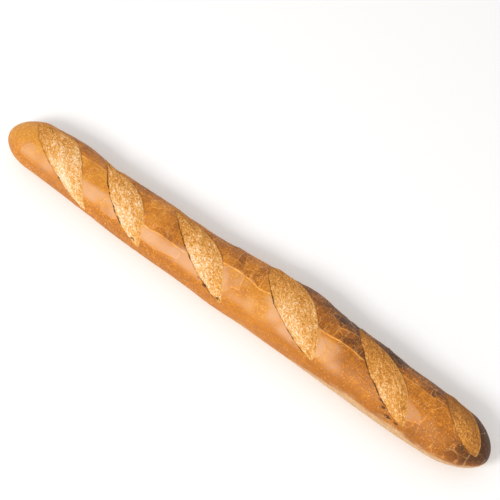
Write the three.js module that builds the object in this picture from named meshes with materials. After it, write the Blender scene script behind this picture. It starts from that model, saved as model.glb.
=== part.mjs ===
// A baguette: one long hand-shaped loaf, baked on a flat deck, with six slanting slashes that have
// burst open along its top.
//
// Units are millimetres, +Z is up. The loaf lies along X and rests on its flat underside. Angles go
// round the loaf from its crown: 0 is the top, plus is towards the near side (-Y), minus is towards
// the far side (+Y), and 180 is the middle of the underside.
//
// The skin is one closed mesh of rings. The rings lean with the slashes, so that the two edges of
// every slash lie exactly on a ring, and the lip, the crevice and the rim stay crisp.

import * as THREE from "three";

// ---- Driving dimensions ----------------------------------------------------------------------

const LENGTH = 600;
const SPINE_HEIGHT = 21; // height of the middle line above the deck
const CROWN_RISE = 0.86; // crown above the middle line, as a share of the half width
const BELLY_DROP = 0.8; // belly below the middle line, before the deck flattens it
const START_ROUNDING = 36; // length of the rounded end at -X
const FINISH_ROUNDING = 52; // length of the rounded end at +X, which is a little more pointed

// Half widths along the loaf. It swells on the far side behind the fourth slash.
const OUTLINE = [
  { x: -300, near: 23, far: 26 },
  { x: -262, near: 24, far: 31 },
  { x: -222, near: 25, far: 34 },
  { x: -180, near: 27, far: 31 },
  { x: -96, near: 30, far: 32.5 },
  { x: -54, near: 29.5, far: 32 },
  { x: -12, near: 31, far: 36 },
  { x: 30, near: 29.5, far: 40 },
  { x: 72, near: 30, far: 43 },
  { x: 114, near: 31, far: 38 },
  { x: 156, near: 31.5, far: 36.5 },
  { x: 198, near: 32, far: 33.5 },
  { x: 240, near: 30.5, far: 32.5 },
  { x: 300, near: 26, far: 32 },
];

// The blade went in on the far side at `inX` and `inAngle`, and came out on the near side at `outX`
// and `outAngle`. The cut then opened. Its lip bulges from the straight cut towards -X by `sag`, and
// its rim bulges towards +X by `bow`. Each bulges most at its own share of the way along the cut.
// `swell` is how far the crumb rises.
const SLASHES = [
  {
    inX: -273, inAngle: -51, outX: -177, outAngle: 82,
    sag: 12, sagAt: 0.27, bow: 24, bowAt: 0.41, swell: 1.6,
  },
  {
    inX: -195, inAngle: -73, outX: -106, outAngle: 72,
    sag: 10, sagAt: 0.49, bow: 21, bowAt: 0.63, swell: 1.6,
  },
  {
    inX: -101, inAngle: -61, outX: -1, outAngle: 68,
    sag: 9, sagAt: 0.41, bow: 22, bowAt: 0.59, swell: 1.8,
  },
  {
    inX: 25, inAngle: -80, outX: 108, outAngle: 53,
    sag: 24, sagAt: 0.29, bow: 18, bowAt: 0.65, swell: 2.2,
  },
  {
    inX: 127, inAngle: -60, outX: 217, outAngle: 56,
    sag: 11, sagAt: 0.44, bow: 20, bowAt: 0.59, swell: 1.8,
  },
  {
    inX: 237, inAngle: -79, outX: 288, outAngle: 30,
    sag: 16, sagAt: 0.25, bow: 15, bowAt: 0.64, swell: 1.2,
  },
];
const BLUNTNESS = 0.7; // under 1 makes the tips of a slash rounder
const EDGE_STEPS = 60; // straight pieces along one edge of a slash

const LIP = { height: 1, run: 4.5 }; // crust curled up along the edge towards -X
const CREVICE = { depth: 2.2, run: 2 }; // gap under the lip
const RIM = { height: 0.5, run: 3 }; // edge of the crumb towards +X
const STEP = { depth: 0.9, run: 4.5 }; // crust just past that rim
const PINCH = { depth: 1.3, run: 11, ahead: 14 }; // dimple just ahead of where the blade went in
const EDGE_SLACK = 1.2; // each edge's ring stays this far outside the very tips of a slash

// Between two slashes the crust is a bridge with one long blunt crease, at this angle.
const CREASES = [-34, 20, -8, -7, -27];
const CREASE = { height: 0.9, run: 11 };

// Slow unevenness from shaping by hand: wavelength along the loaf, turns round it, height, phase.
const UNEVENNESS = [
  { wavelength: 143, turns: 1, height: 0.35, phase: 0.4 },
  { wavelength: 67, turns: 2, height: 0.25, phase: 2.1 },
  { wavelength: 39, turns: 3, height: 0.15, phase: 4.0 },
];

// ---- Mesh resolution -------------------------------------------------------------------------

const COLUMNS = 56; // round the loaf
const CROWN_DENSITY = 0.62; // under 1 puts more of the columns on the crown than on the underside
const END_RINGS = 11;
const SLASH_RINGS = 7;
const BRIDGE_RINGS = 7;
const NORMAL_STEP = 0.02; // for the slope of the plain skin, in mm along and in degrees round

const CRUST_COLOUR = "#c98242";
const CRUST_ROUGHNESS = 0.55;

// ---- Small helpers ---------------------------------------------------------------------------

const { clamp, smoothstep, lerp, degToRad } = THREE.MathUtils;

// A smooth hill over 0..1 that is 0 at both ends and 1 at `peak`.
function hill(t, peak) {
  const inside = clamp(t, 0, 1);
  return Math.sin(Math.PI * inside ** (Math.log(0.5) / Math.log(peak)));
}

// A smooth curve through the outline's stations, with no overshoot between them.
function outlineAt(x, side) {
  const last = OUTLINE.length - 1;
  const gap = (i) => OUTLINE[i + 1].x - OUTLINE[i].x;
  const climb = (i) => (OUTLINE[i + 1][side] - OUTLINE[i][side]) / gap(i);
  const slope = (i) => {
    if (i === 0) return climb(0);
    if (i === last) return climb(last - 1);
    const before = climb(i - 1);
    const after = climb(i);
    return before * after > 0 ? (2 * before * after) / (before + after) : 0;
  };
  let i = 0;
  while (i < last - 1 && x > OUTLINE[i + 1].x) i += 1;
  const t = (x - OUTLINE[i].x) / gap(i);
  const low = OUTLINE[i][side];
  const high = OUTLINE[i + 1][side];
  const rise = (3 - 2 * t) * t * t;
  const leave = t * (1 - t) * (1 - t) * gap(i) * slope(i);
  const arrive = t * t * (t - 1) * gap(i) * slope(i + 1);
  return low + (high - low) * rise + leave + arrive;
}

// ---- The plain skin --------------------------------------------------------------------------

// How full the section is: 0 at the two tips and 1 along the body.
function fullness(x) {
  const fromStart = clamp((x + LENGTH / 2) / START_ROUNDING, 0, 1);
  const fromFinish = clamp((LENGTH / 2 - x) / FINISH_ROUNDING, 0, 1);
  return Math.sqrt(1 - (1 - fromStart) ** 2) * Math.sqrt(1 - (1 - fromFinish) ** 2);
}

function meanHalfWidth(x) {
  return ((outlineAt(x, "near") + outlineAt(x, "far")) / 2) * fullness(x);
}

// The section has one half width on each side, a high round crown and a shallower belly.
function plainSkin(x, angle) {
  const turn = degToRad(angle);
  const half = outlineAt(x, angle > 0 ? "near" : "far") * fullness(x);
  const upright = Math.cos(turn) > 0 ? CROWN_RISE : BELLY_DROP;
  const y = -half * Math.sin(turn);
  const z = SPINE_HEIGHT + meanHalfWidth(x) * upright * Math.cos(turn);
  return new THREE.Vector3(x, y, z);
}

function plainNormal(x, angle) {
  const back = Math.max(x - NORMAL_STEP, -LENGTH / 2);
  const on = Math.min(x + NORMAL_STEP, LENGTH / 2);
  const along = plainSkin(on, angle).sub(plainSkin(back, angle));
  const round = plainSkin(x, angle + NORMAL_STEP).sub(plainSkin(x, angle - NORMAL_STEP));
  return round.cross(along).normalize();
}

// ---- Slashes ---------------------------------------------------------------------------------

// One edge of a slash as a row of points: x along the loaf, and y as the arc round it from where the
// blade went in. `side` is 1 for the lip and -1 for the rim.
function edgeCurve(cut, side, depth, peak) {
  return Array.from({ length: EDGE_STEPS + 1 }, (_, i) => {
    const share = i / EDGE_STEPS;
    const bulge = side * depth * hill(share, peak) ** BLUNTNESS;
    const x = share * cut.x - (bulge * cut.y) / cut.length();
    const arc = share * cut.y + (bulge * cut.x) / cut.length();
    return new THREE.Vector2(x, arc);
  });
}

// A slash with its straight cut, its two edges and the half width of the loaf there.
function openSlash(slash) {
  const girth = meanHalfWidth((slash.inX + slash.outX) / 2);
  const cut = new THREE.Vector2(slash.outX - slash.inX, degToRad(slash.outAngle - slash.inAngle) * girth);
  const lip = edgeCurve(cut, 1, slash.sag, slash.sagAt);
  const rim = edgeCurve(cut, -1, slash.bow, slash.bowAt);
  return { ...slash, girth, cut, lip, rim };
}

// A place on the skin as a slash sees it: distance along the loaf and arc round it from where the
// blade went in.
function placeFrom(slash, x, angle) {
  return new THREE.Vector2(x - slash.inX, degToRad(angle - slash.inAngle) * slash.girth);
}

// The x at which an edge crosses an angle. Past the tips it is the x of the tip.
function edgeAt(slash, edge, angle) {
  const { y: arc } = placeFrom(slash, 0, angle);
  const next = edge.findIndex((point) => point.y > arc && point.y > 0);
  if (next < 1) return slash.inX + (arc > 0 ? slash.cut.x : 0);
  const before = edge[next - 1];
  const after = edge[next];
  const share = clamp((arc - before.y) / (after.y - before.y), 0, 1);
  return slash.inX + lerp(before.x, after.x, share);
}

function distanceTo(edge, place) {
  let nearest = Infinity;
  for (let i = 0; i < EDGE_STEPS; i += 1) {
    const run = edge[i + 1].clone().sub(edge[i]);
    const gap = place.clone().sub(edge[i]);
    const share = clamp(gap.dot(run) / run.lengthSq(), 0, 1);
    nearest = Math.min(nearest, gap.addScaledVector(run, -share).length());
  }
  return nearest;
}

// Height of one slash's relief over the plain skin.
function slashRelief(slash, x, angle) {
  const place = placeFrom(slash, x, angle);
  const share = place.dot(slash.cut) / slash.cut.lengthSq();
  const opened = Math.sqrt(hill(share, 0.5));
  if (opened === 0) return 0;
  const undercut = smoothstep(share, 0.05, 0.4) * (1 - smoothstep(share, 0.93, 1));
  const toLip = distanceTo(slash.lip, place);
  const toRim = distanceTo(slash.rim, place);
  if (x <= edgeAt(slash, slash.lip, angle)) {
    return LIP.height * (0.3 + 0.7 * undercut) * opened * Math.exp(-toLip / LIP.run);
  }
  if (x > edgeAt(slash, slash.rim, angle)) {
    return -STEP.depth * opened * Math.exp(-toRim / STEP.run);
  }
  const swelling = slash.swell * hill(toLip / (toLip + toRim), 0.55);
  const crevice = -CREVICE.depth * (0.15 + 0.85 * undercut) * Math.exp(-toLip / CREVICE.run);
  const rim = RIM.height * Math.exp(-toRim / RIM.run);
  return opened * (swelling + crevice + rim);
}

// The skin is drawn in at the far end of the opening.
function pinchRelief(slash, x, angle) {
  const away = placeFrom(slash, x - PINCH.ahead, angle).length() / PINCH.run;
  return -PINCH.depth * Math.exp(-away * away);
}

const openSlashes = SLASHES.map(openSlash);

// ---- Crust -----------------------------------------------------------------------------------

// The blunt crease along the bridge between two slashes.
function creaseRelief(x, angle) {
  let height = 0;
  CREASES.forEach((creaseAngle, i) => {
    const start = edgeAt(openSlashes[i], openSlashes[i].rim, angle);
    const finish = edgeAt(openSlashes[i + 1], openSlashes[i + 1].lip, angle);
    const along = (x - start) / (finish - start);
    if (along <= 0 || along >= 1) return;
    const arc = Math.abs(degToRad(angle - creaseAngle)) * meanHalfWidth(x);
    height += CREASE.height * Math.sqrt(hill(along, 0.5)) * Math.exp(-arc / CREASE.run);
  });
  return height;
}

function unevenness(x, angle) {
  const turn = degToRad(angle);
  return UNEVENNESS.reduce(
    (sum, wave) =>
      sum +
      wave.height *
        Math.sin((2 * Math.PI * x) / wave.wavelength + wave.turns * turn + wave.phase),
    0,
  );
}

function skinPoint(x, angle) {
  const point = plainSkin(x, angle);
  const slashes = openSlashes.reduce(
    (sum, slash) => sum + slashRelief(slash, x, angle) + pinchRelief(slash, x, angle),
    0,
  );
  const height = slashes + creaseRelief(x, angle) + unevenness(x, angle) * fullness(x);
  point.addScaledVector(plainNormal(x, angle), height);
  point.x = clamp(point.x, -LENGTH / 2, LENGTH / 2);
  point.z = Math.max(point.z, 0); // the deck flattens the underside
  return point;
}

// ---- Rings -----------------------------------------------------------------------------------

// Where the ring of a slash's edge crosses a given angle. Along the cut it follows the edge. Past the
// tips it swings back round the underside to its own even share of the length. `side` is -1 for the
// lip and 1 for the rim.
function guideAt(slash, edge, side, angle) {
  const onEdge = edgeAt(slash, edge, angle) + side * EDGE_SLACK;
  if (angle >= slash.inAngle && angle <= slash.outAngle) return onEdge;
  const underneath = slash.inX + slash.cut.x / 2 + (side * slash.cut.x) / 6;
  const beforeIn = (angle + 180) / (slash.inAngle + 180);
  const afterOut = (180 - angle) / (180 - slash.outAngle);
  return lerp(underneath, onEdge, smoothstep(Math.min(beforeIn, afterOut), 0, 1));
}

// One entry for each ring: the x at which it crosses a given angle.
function ringPlaces() {
  const guides = openSlashes.flatMap((slash) => [
    (angle) => guideAt(slash, slash.lip, -1, angle),
    (angle) => guideAt(slash, slash.rim, 1, angle),
  ]);
  const rings = [];
  const first = guides[0];
  const last = guides[guides.length - 1];
  for (let i = 1; i < END_RINGS; i += 1) {
    const share = (i / END_RINGS) ** 2;
    rings.push((angle) => lerp(-LENGTH / 2, first(angle), share));
  }
  for (let g = 0; g + 1 < guides.length; g += 1) {
    const count = g % 2 === 0 ? SLASH_RINGS : BRIDGE_RINGS;
    for (let i = 0; i < count; i += 1) {
      const share = 0.5 - 0.5 * Math.cos((Math.PI * i) / count);
      rings.push((angle) => lerp(guides[g](angle), guides[g + 1](angle), share));
    }
  }
  for (let i = END_RINGS; i > 0; i -= 1) {
    const share = (i / END_RINGS) ** 2;
    rings.push((angle) => lerp(LENGTH / 2, last(angle), share));
  }
  return rings;
}

function columnAngles() {
  return Array.from({ length: COLUMNS }, (_, k) => {
    const v = (2 * (k + 1)) / COLUMNS - 1;
    return 180 * (CROWN_DENSITY * v + (1 - CROWN_DENSITY) * v ** 3);
  });
}

// ---- Build -----------------------------------------------------------------------------------

function loafGeometry() {
  const rings = ringPlaces();
  const angles = columnAngles();
  const points = [new THREE.Vector3(-LENGTH / 2, 0, SPINE_HEIGHT)];
  rings.forEach((ring) => angles.forEach((angle) => points.push(skinPoint(ring(angle), angle))));
  points.push(new THREE.Vector3(LENGTH / 2, 0, SPINE_HEIGHT));

  const at = (ring, column) => 1 + ring * COLUMNS + (column % COLUMNS);
  const finish = points.length - 1;
  const faces = [];
  for (let c = 0; c < COLUMNS; c += 1) {
    faces.push(0, at(0, c + 1), at(0, c));
    for (let r = 0; r + 1 < rings.length; r += 1) {
      faces.push(at(r, c), at(r + 1, c + 1), at(r + 1, c));
      faces.push(at(r, c), at(r, c + 1), at(r + 1, c + 1));
    }
    faces.push(finish, at(rings.length - 1, c), at(rings.length - 1, c + 1));
  }

  const geometry = new THREE.BufferGeometry().setFromPoints(points);
  geometry.setIndex(faces);
  geometry.computeBoundingBox();
  const middle = geometry.boundingBox.getCenter(new THREE.Vector3());
  geometry.translate(-middle.x, -middle.y, -geometry.boundingBox.min.z);
  geometry.computeVertexNormals();
  return geometry;
}

const crust = new THREE.MeshStandardMaterial({
  color: CRUST_COLOUR,
  roughness: CRUST_ROUGHNESS,
  metalness: 0,
});

const loaf = new THREE.Mesh(loafGeometry(), crust);
loaf.name = "loaf";

const baguette = new THREE.Group();
baguette.add(loaf);

export default baguette;
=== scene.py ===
"""A baguette, dressed for a studio picture.

The loaf's skin is one closed mesh of rings that lean with its six slashes, so that the edges of the
opened crumb are crisp. Its relief is worked out in millimetres: the swollen crumb with its torn
fibres, the crust's curled lips and crevices, blunt creases, lifted flakes and dents. Attributes on the
same mesh tell the shader how brown each spot was baked, and where light and shade are painted into
the colour: painted shade on the sides turned from the light and in crevices, hollows and holes, and
painted highlights on the crust. Geometry Nodes raise the crackled crust's tiles, and strew the grains
of torn crumb and the crust's flour specks over the skin.
"""

import logging
import math
from dataclasses import dataclass, field, fields
from enum import Enum

import bpy
import numpy as np
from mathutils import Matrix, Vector


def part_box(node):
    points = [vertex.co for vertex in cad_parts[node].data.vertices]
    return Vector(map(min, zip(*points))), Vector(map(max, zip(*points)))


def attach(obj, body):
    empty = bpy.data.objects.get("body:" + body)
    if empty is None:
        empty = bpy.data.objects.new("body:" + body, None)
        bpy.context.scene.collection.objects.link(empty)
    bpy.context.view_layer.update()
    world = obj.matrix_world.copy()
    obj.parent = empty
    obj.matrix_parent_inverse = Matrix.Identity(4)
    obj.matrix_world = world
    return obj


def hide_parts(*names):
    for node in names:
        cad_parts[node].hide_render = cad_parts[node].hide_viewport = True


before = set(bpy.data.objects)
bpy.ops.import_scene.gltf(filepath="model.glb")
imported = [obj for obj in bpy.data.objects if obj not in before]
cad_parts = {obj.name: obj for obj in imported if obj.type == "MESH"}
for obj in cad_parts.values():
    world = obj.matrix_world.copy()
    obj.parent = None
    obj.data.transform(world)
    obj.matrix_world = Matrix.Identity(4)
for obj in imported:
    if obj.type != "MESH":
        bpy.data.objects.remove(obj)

log = logging.getLogger("baguette")

MM = 0.001
NODE = "loaf"
BODY = "root"
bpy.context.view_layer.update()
FAR_OFF = 30.0  # stands for any distance too great to matter, in millimetres
TINY = 1e-9  # keeps a division by 0 away


# ---- Numbers that vary smoothly ----------------------------------------------------------------


def smoothstep(low: float, high: float, value: np.ndarray) -> np.ndarray:
    """Rise from 0 at low to 1 at high, level at both ends.

    Args:
        low: Value at which the result starts to leave 0.
        high: Value at which the result reaches 1. It may be under low, for a fall.
        value: Numbers to map.

    Returns:
        Numbers between 0 and 1.
    """
    t = np.clip((value - low) / (high - low), 0.0, 1.0)
    return t * t * (3.0 - 2.0 * t)


def hill(t: np.ndarray, peak: float) -> np.ndarray:
    """A smooth hill over 0..1, 0 at both ends and 1 at peak.

    Args:
        t: Places along the hill; outside 0..1 the hill is flat.
        peak: Where the top is, between 0 and 1.

    Returns:
        Heights between 0 and 1.
    """
    inside = np.clip(t, 0.0, 1.0)
    return np.sin(np.pi * inside ** (math.log(0.5) / math.log(peak)))


def lattice(corner: np.ndarray, seed: int) -> np.ndarray:
    """One fixed random number for each whole-numbered corner of a grid.

    Args:
        corner: Whole numbers, shape (..., 3).
        seed: Which of the fixed patterns to use.

    Returns:
        Numbers between 0 and 1, shape (...).
    """
    c = corner.astype(np.int64).astype(np.uint32)
    mixed = c[..., 0] * np.uint32(374761393) + c[..., 1] * np.uint32(668265263)
    mixed = mixed + c[..., 2] * np.uint32(2246822519) + np.uint32(seed * 3266489917 % 2**32)
    mixed = (mixed ^ (mixed >> np.uint32(13))) * np.uint32(1274126177)
    mixed = (mixed ^ (mixed >> np.uint32(16))) * np.uint32(2246822519)
    return (mixed ^ (mixed >> np.uint32(15))) / 2.0**32


def noise(points: np.ndarray, size: float, seed: int, octaves: int = 1) -> np.ndarray:
    """Smooth random unevenness.

    Args:
        points: Places in millimetres, shape (n, 3).
        size: Millimetres across one bump of the coarsest layer.
        seed: Which of the fixed patterns to use.
        octaves: Number of layers, each half as large and half as high as the one before.

    Returns:
        Numbers between about -1 and 1, shape (n,).
    """
    total = np.zeros(len(points))
    height = 1.0
    for octave in range(octaves):
        scaled = points * (2.0**octave / size)
        corner = np.floor(scaled)
        part = scaled - corner
        ease = part**3 * (part * (part * 6.0 - 15.0) + 10.0)
        for step in np.ndindex(2, 2, 2):
            weight = np.prod(np.where(step, ease, 1.0 - ease), axis=1)
            total += height * weight * (2.0 * lattice(corner + step, seed + octave) - 1.0)
        height *= 0.5
    return total


@dataclass(frozen=True)
class Unevenness:
    """One layer of smooth random unevenness.

    Attributes:
        amount: About its greatest value.
        size: Millimetres across one of its coarsest bumps.
        seed: Which of the fixed patterns it has.
        octaves: Number of finer and finer layers in it.
        stretch: What each axis is multiplied by. Under 1 draws the bumps out along it.
    """

    amount: float
    size: float
    seed: int
    octaves: int = 2
    stretch: tuple[float, float, float] = (1.0, 1.0, 1.0)

    def at(self, points: np.ndarray, variant: int = 0) -> np.ndarray:
        """Its values at some places, in the pattern that is variant steps after its own."""
        return self.amount * noise(points * self.stretch, self.size, self.seed + variant, self.octaves)


@dataclass(frozen=True)
class Zone:
    """A value that fades in and out along the loaf and round it.

    Attributes:
        amount: The full value.
        along: Ramps, each from the place along the loaf where it is 0 to the one where it is full.
        around: The same for angles round the loaf.
    """

    amount: float
    along: tuple[tuple[float, float], ...] = ()
    around: tuple[tuple[float, float], ...] = ()

    def at(self, x: np.ndarray, angle: np.ndarray) -> np.ndarray:
        """Its values at some places on the skin."""
        value = np.full(len(x), float(self.amount))
        for low, high in self.along:
            value *= smoothstep(low, high, x)
        for low, high in self.around:
            value *= smoothstep(low, high, angle)
        return value


def add_up(parts: tuple, *places: np.ndarray) -> np.ndarray:
    """Add up several zones or several layers of unevenness at the same places."""
    return sum(part.at(*places) for part in parts)


# ---- The loaf's form, in millimetres -----------------------------------------------------------


class Side(Enum):
    """The two long sides of the loaf."""

    NEAR = "near"
    FAR = "far"


class Edge(Enum):
    """The two edges of an opened slash: the lip side towards -X, and the rim side towards +X."""

    LIP = -1
    RIM = 1


@dataclass(frozen=True)
class Station:
    """Half widths of the plain loaf at one place along it, in millimetres.

    Attributes:
        x: The place.
        near: Half width of the near side.
        far: Half width of the far side.
    """

    x: float
    near: float
    far: float


@dataclass(frozen=True)
class PlainLoaf:
    """The loaf before it is slashed: an uneven roll with round ends and a flat underside.

    Angles go round it in degrees from the crown, plus towards the near side.

    Attributes:
        length: From tip to tip.
        spine_height: How high its widest line lies.
        crown_rise: How high the section is over that line, as a share of its half width.
        belly_drop: How deep it is under that line, as such a share.
        start_rounding: How far the -X end's rounding reaches.
        finish_rounding: How far the +X end's rounding reaches.
        normal_step: How far apart the places are that give an outward direction.
        outline: Half widths along it.
    """

    length: float = 600.0
    spine_height: float = 21.0
    crown_rise: float = 0.86
    belly_drop: float = 0.8
    start_rounding: float = 36.0
    finish_rounding: float = 52.0
    normal_step: float = 0.02
    outline: tuple[Station, ...] = (
        Station(-300, 23, 26),
        Station(-262, 24, 31),
        Station(-222, 25, 34),
        Station(-180, 27, 31),
        Station(-96, 30, 32.5),
        Station(-54, 29.5, 32),
        Station(-12, 31, 36),
        Station(30, 29.5, 40),
        Station(72, 30, 43),
        Station(114, 31, 38),
        Station(156, 31.5, 36.5),
        Station(198, 32, 33.5),
        Station(240, 30.5, 32.5),
        Station(300, 26, 32),
    )

    def half_width(self, x: np.ndarray, side: Side) -> np.ndarray:
        """Half width on one side, on a smooth curve through the stations.

        Args:
            x: Places along the loaf.
            side: Which half of the loaf.

        Returns:
            Half widths, before the ends are rounded.
        """
        at = np.array([s.x for s in self.outline])
        wide = np.array([getattr(s, side.value) for s in self.outline])
        gap = np.diff(at)
        climb = np.diff(wide) / gap
        before, after = climb[:-1], climb[1:]
        turning = before * after <= 0
        both = np.where(turning, 1.0, before + after)
        inner = np.where(turning, 0.0, 2.0 * before * after / both)
        slope = np.concatenate([climb[:1], inner, climb[-1:]])
        i = np.clip(np.searchsorted(at, x) - 1, 0, len(gap) - 1)
        t = (x - at[i]) / gap[i]
        rise = (3.0 - 2.0 * t) * t * t
        leave = t * (1.0 - t) ** 2 * gap[i] * slope[i]
        arrive = t * t * (t - 1.0) * gap[i] * slope[i + 1]
        return wide[i] + (wide[i + 1] - wide[i]) * rise + leave + arrive

    def fullness(self, x: np.ndarray) -> np.ndarray:
        """How full the section is: 0 at the two tips, 1 along the body."""
        start = np.clip((x + self.length / 2) / self.start_rounding, 0.0, 1.0)
        finish = np.clip((self.length / 2 - x) / self.finish_rounding, 0.0, 1.0)
        return np.sqrt(1 - (1 - start) ** 2) * np.sqrt(1 - (1 - finish) ** 2)

    def mean_half_width(self, x: np.ndarray) -> np.ndarray:
        """Half width averaged over the two sides, with the ends rounded."""
        both = self.half_width(x, Side.NEAR) + self.half_width(x, Side.FAR)
        return both / 2 * self.fullness(x)

    def points(self, x: np.ndarray, angle: np.ndarray) -> np.ndarray:
        """Places on the plain skin.

        Args:
            x: Places along the loaf.
            angle: Angles from the crown, of the same shape.

        Returns:
            Points in millimetres, with one more axis of 3.
        """
        turn = np.radians(angle)
        near, far = self.half_width(x, Side.NEAR), self.half_width(x, Side.FAR)
        half = np.where(angle > 0, near, far) * self.fullness(x)
        upright = np.where(np.cos(turn) > 0, self.crown_rise, self.belly_drop)
        z = self.spine_height + self.mean_half_width(x) * upright * np.cos(turn)
        return np.stack([x, -half * np.sin(turn), z], axis=-1)

    def normals(self, x: np.ndarray, angle: np.ndarray) -> np.ndarray:
        """Outward directions of the plain skin, of length 1."""
        half = self.length / 2
        step = self.normal_step
        on, back = np.minimum(x + step, half), np.maximum(x - step, -half)
        along = self.points(on, angle) - self.points(back, angle)
        round_it = self.points(x, angle + step) - self.points(x, angle - step)
        out = np.cross(round_it, along)
        return out / (np.linalg.norm(out, axis=-1, keepdims=True) + TINY)


@dataclass(frozen=True)
class Slash:
    """One cut that a blade made from the far side to the near side, and that burst open in the oven.

    Attributes:
        enter_x: Where the blade went in, on the far side.
        enter_angle: Angle at which it went in.
        leave_x: Where it came out, on the near side.
        leave_angle: Angle at which it came out.
        sag: How far the lip edge bulges from the straight cut.
        sag_peak: Share of the way along the cut at which it bulges most.
        bow: How far the rim edge bulges from the straight cut, on the other side.
        bow_peak: Share of the way along the cut at which it bulges most.
        swell: How far the crumb rises out of the cut.
        toast_and_shade: How much darker than fresh crumb it is, 0 to 1: toasting, and painted shade towards
            +X.
        parted: How much of the lip stands open over a dark crevice, 0 to 1.
        seed: Its own random pattern.
        girth: Half width of the loaf at the cut.
        bluntness: How pointed the tips are, from 1 for sharp towards 0 for square.
        ragged: How unevenly the edges tore.
        ragged_size: Size of that unevenness.
        edges_apart: How far apart in the noise the two edges take theirs.
        slack: How far outside an edge its ring of mesh runs.
        far_off: Greatest distance that is worked out.
        samples: Number of places on each edge.
    """

    enter_x: float
    enter_angle: float
    leave_x: float
    leave_angle: float
    sag: float
    sag_peak: float
    bow: float
    bow_peak: float
    swell: float
    toast_and_shade: float
    parted: float
    seed: int
    girth: float
    bluntness: float = 0.7
    ragged: float = 0.5
    ragged_size: float = 6.0
    edges_apart: float = 40.0
    slack: float = 1.2
    far_off: float = 40.0
    samples: int = 120

    @property
    def reach(self) -> float:
        """How much further along the loaf the blade came out."""
        return self.leave_x - self.enter_x

    @property
    def climb(self) -> float:
        """How far round the loaf the cut goes, as an arc."""
        return self.arc(np.array(self.leave_angle)).item()

    @property
    def length(self) -> float:
        """Length of the straight cut."""
        return math.hypot(self.reach, self.climb)

    def arc(self, angle: np.ndarray) -> np.ndarray:
        """Distance round the loaf from where the blade went in."""
        return np.radians(angle - self.enter_angle) * self.girth

    def frame(self, x: np.ndarray, angle: np.ndarray) -> tuple[np.ndarray, np.ndarray]:
        """Distances along the straight cut and aside from it, plus towards the lip."""
        dx, arc = x - self.enter_x, self.arc(angle)
        along = (dx * self.reach + arc * self.climb) / self.length
        aside = (arc * self.reach - dx * self.climb) / self.length
        return along, aside

    def curve(self, edge: Edge) -> np.ndarray:
        """One edge of the opening, torn a little unevenly.

        Args:
            edge: Which edge.

        Returns:
            Places along the loaf and arcs from where the blade went in, shape (samples, 2).
        """
        s = np.linspace(0.0, 1.0, self.samples)
        most, peak = (self.sag, self.sag_peak) if edge is Edge.LIP else (-self.bow, self.bow_peak)
        bulge = most * hill(s, peak) ** self.bluntness
        line = np.stack([s * self.length, 0 * s, 0 * s + self.edges_apart * edge.value], axis=-1)
        bulge += self.ragged * noise(line, self.ragged_size, self.seed, 2) * np.sqrt(hill(s, 0.5))
        x = self.enter_x + s * self.reach - bulge * self.climb / self.length
        arc = s * self.climb + bulge * self.reach / self.length
        return np.stack([x, arc], axis=-1)

    def edge(self, angle: np.ndarray, edge: Edge) -> np.ndarray:
        """Where an edge of the opening crosses an angle; past the tips, where the tip is."""
        curve = self.curve(edge)
        rising = np.maximum.accumulate(curve[:, 1]) + 1e-4 * np.arange(self.samples)
        return np.interp(self.arc(angle), rising, curve[:, 0])

    def away(self, x: np.ndarray, angle: np.ndarray, edge: Edge) -> np.ndarray:
        """Distance over the skin to an edge of the opening.

        Args:
            x: Places along the loaf, shape (n,).
            angle: Angles round it, shape (n,).
            edge: Which edge.

        Returns:
            Distances, always plus and at most far_off, shape (n,).
        """
        curve = self.curve(edge)
        near = (x > curve[:, 0].min() - self.far_off) & (x < curve[:, 0].max() + self.far_off)
        place = np.stack([x[near], self.arc(angle[near])], axis=-1)
        nearest = np.full(len(place), self.far_off**2)
        for start, finish in zip(curve, curve[1:]):
            run = finish - start
            share = np.clip((place - start) @ run / (run @ run + TINY), 0.0, 1.0)
            gap = place - start - share[:, None] * run
            nearest = np.minimum(nearest, np.einsum("ij,ij->i", gap, gap))
        away = np.full(len(x), self.far_off)
        away[near] = np.sqrt(nearest)
        return away

    def guide(self, angle: np.ndarray, edge: Edge) -> np.ndarray:
        """The ring of an edge: along the cut it follows the edge, and past the tips it swings back
        round the underside to its own even share of the length.

        Args:
            angle: Angles round the loaf.
            edge: Which edge.

        Returns:
            Places along the loaf.
        """
        on_edge = self.edge(angle, edge) + edge.value * self.slack
        under = (self.enter_x + self.leave_x) / 2 + edge.value * self.reach / 6
        before = (angle + 180.0) / (self.enter_angle + 180.0)
        after = (180.0 - angle) / (180.0 - self.leave_angle)
        away = smoothstep(0.0, 1.0, np.minimum(before, after))
        return under + (on_edge - under) * away


@dataclass(frozen=True)
class Crease:
    """A long blunt crease along the crust between two slashes, and how the crust beyond it cracked.

    Attributes:
        angle: Its angle from the crown.
        height: How far it stands proud, in millimetres.
        crackle: How far the crust beyond it cracked into tiles, 0 to 1.
        browning_and_shade: How much darker the crust beyond it is, 0 to 1: browning and painted shade.
        tile: Size of the tiles, in millimetres.
    """

    angle: float
    height: float
    crackle: float
    browning_and_shade: float
    tile: float


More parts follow.
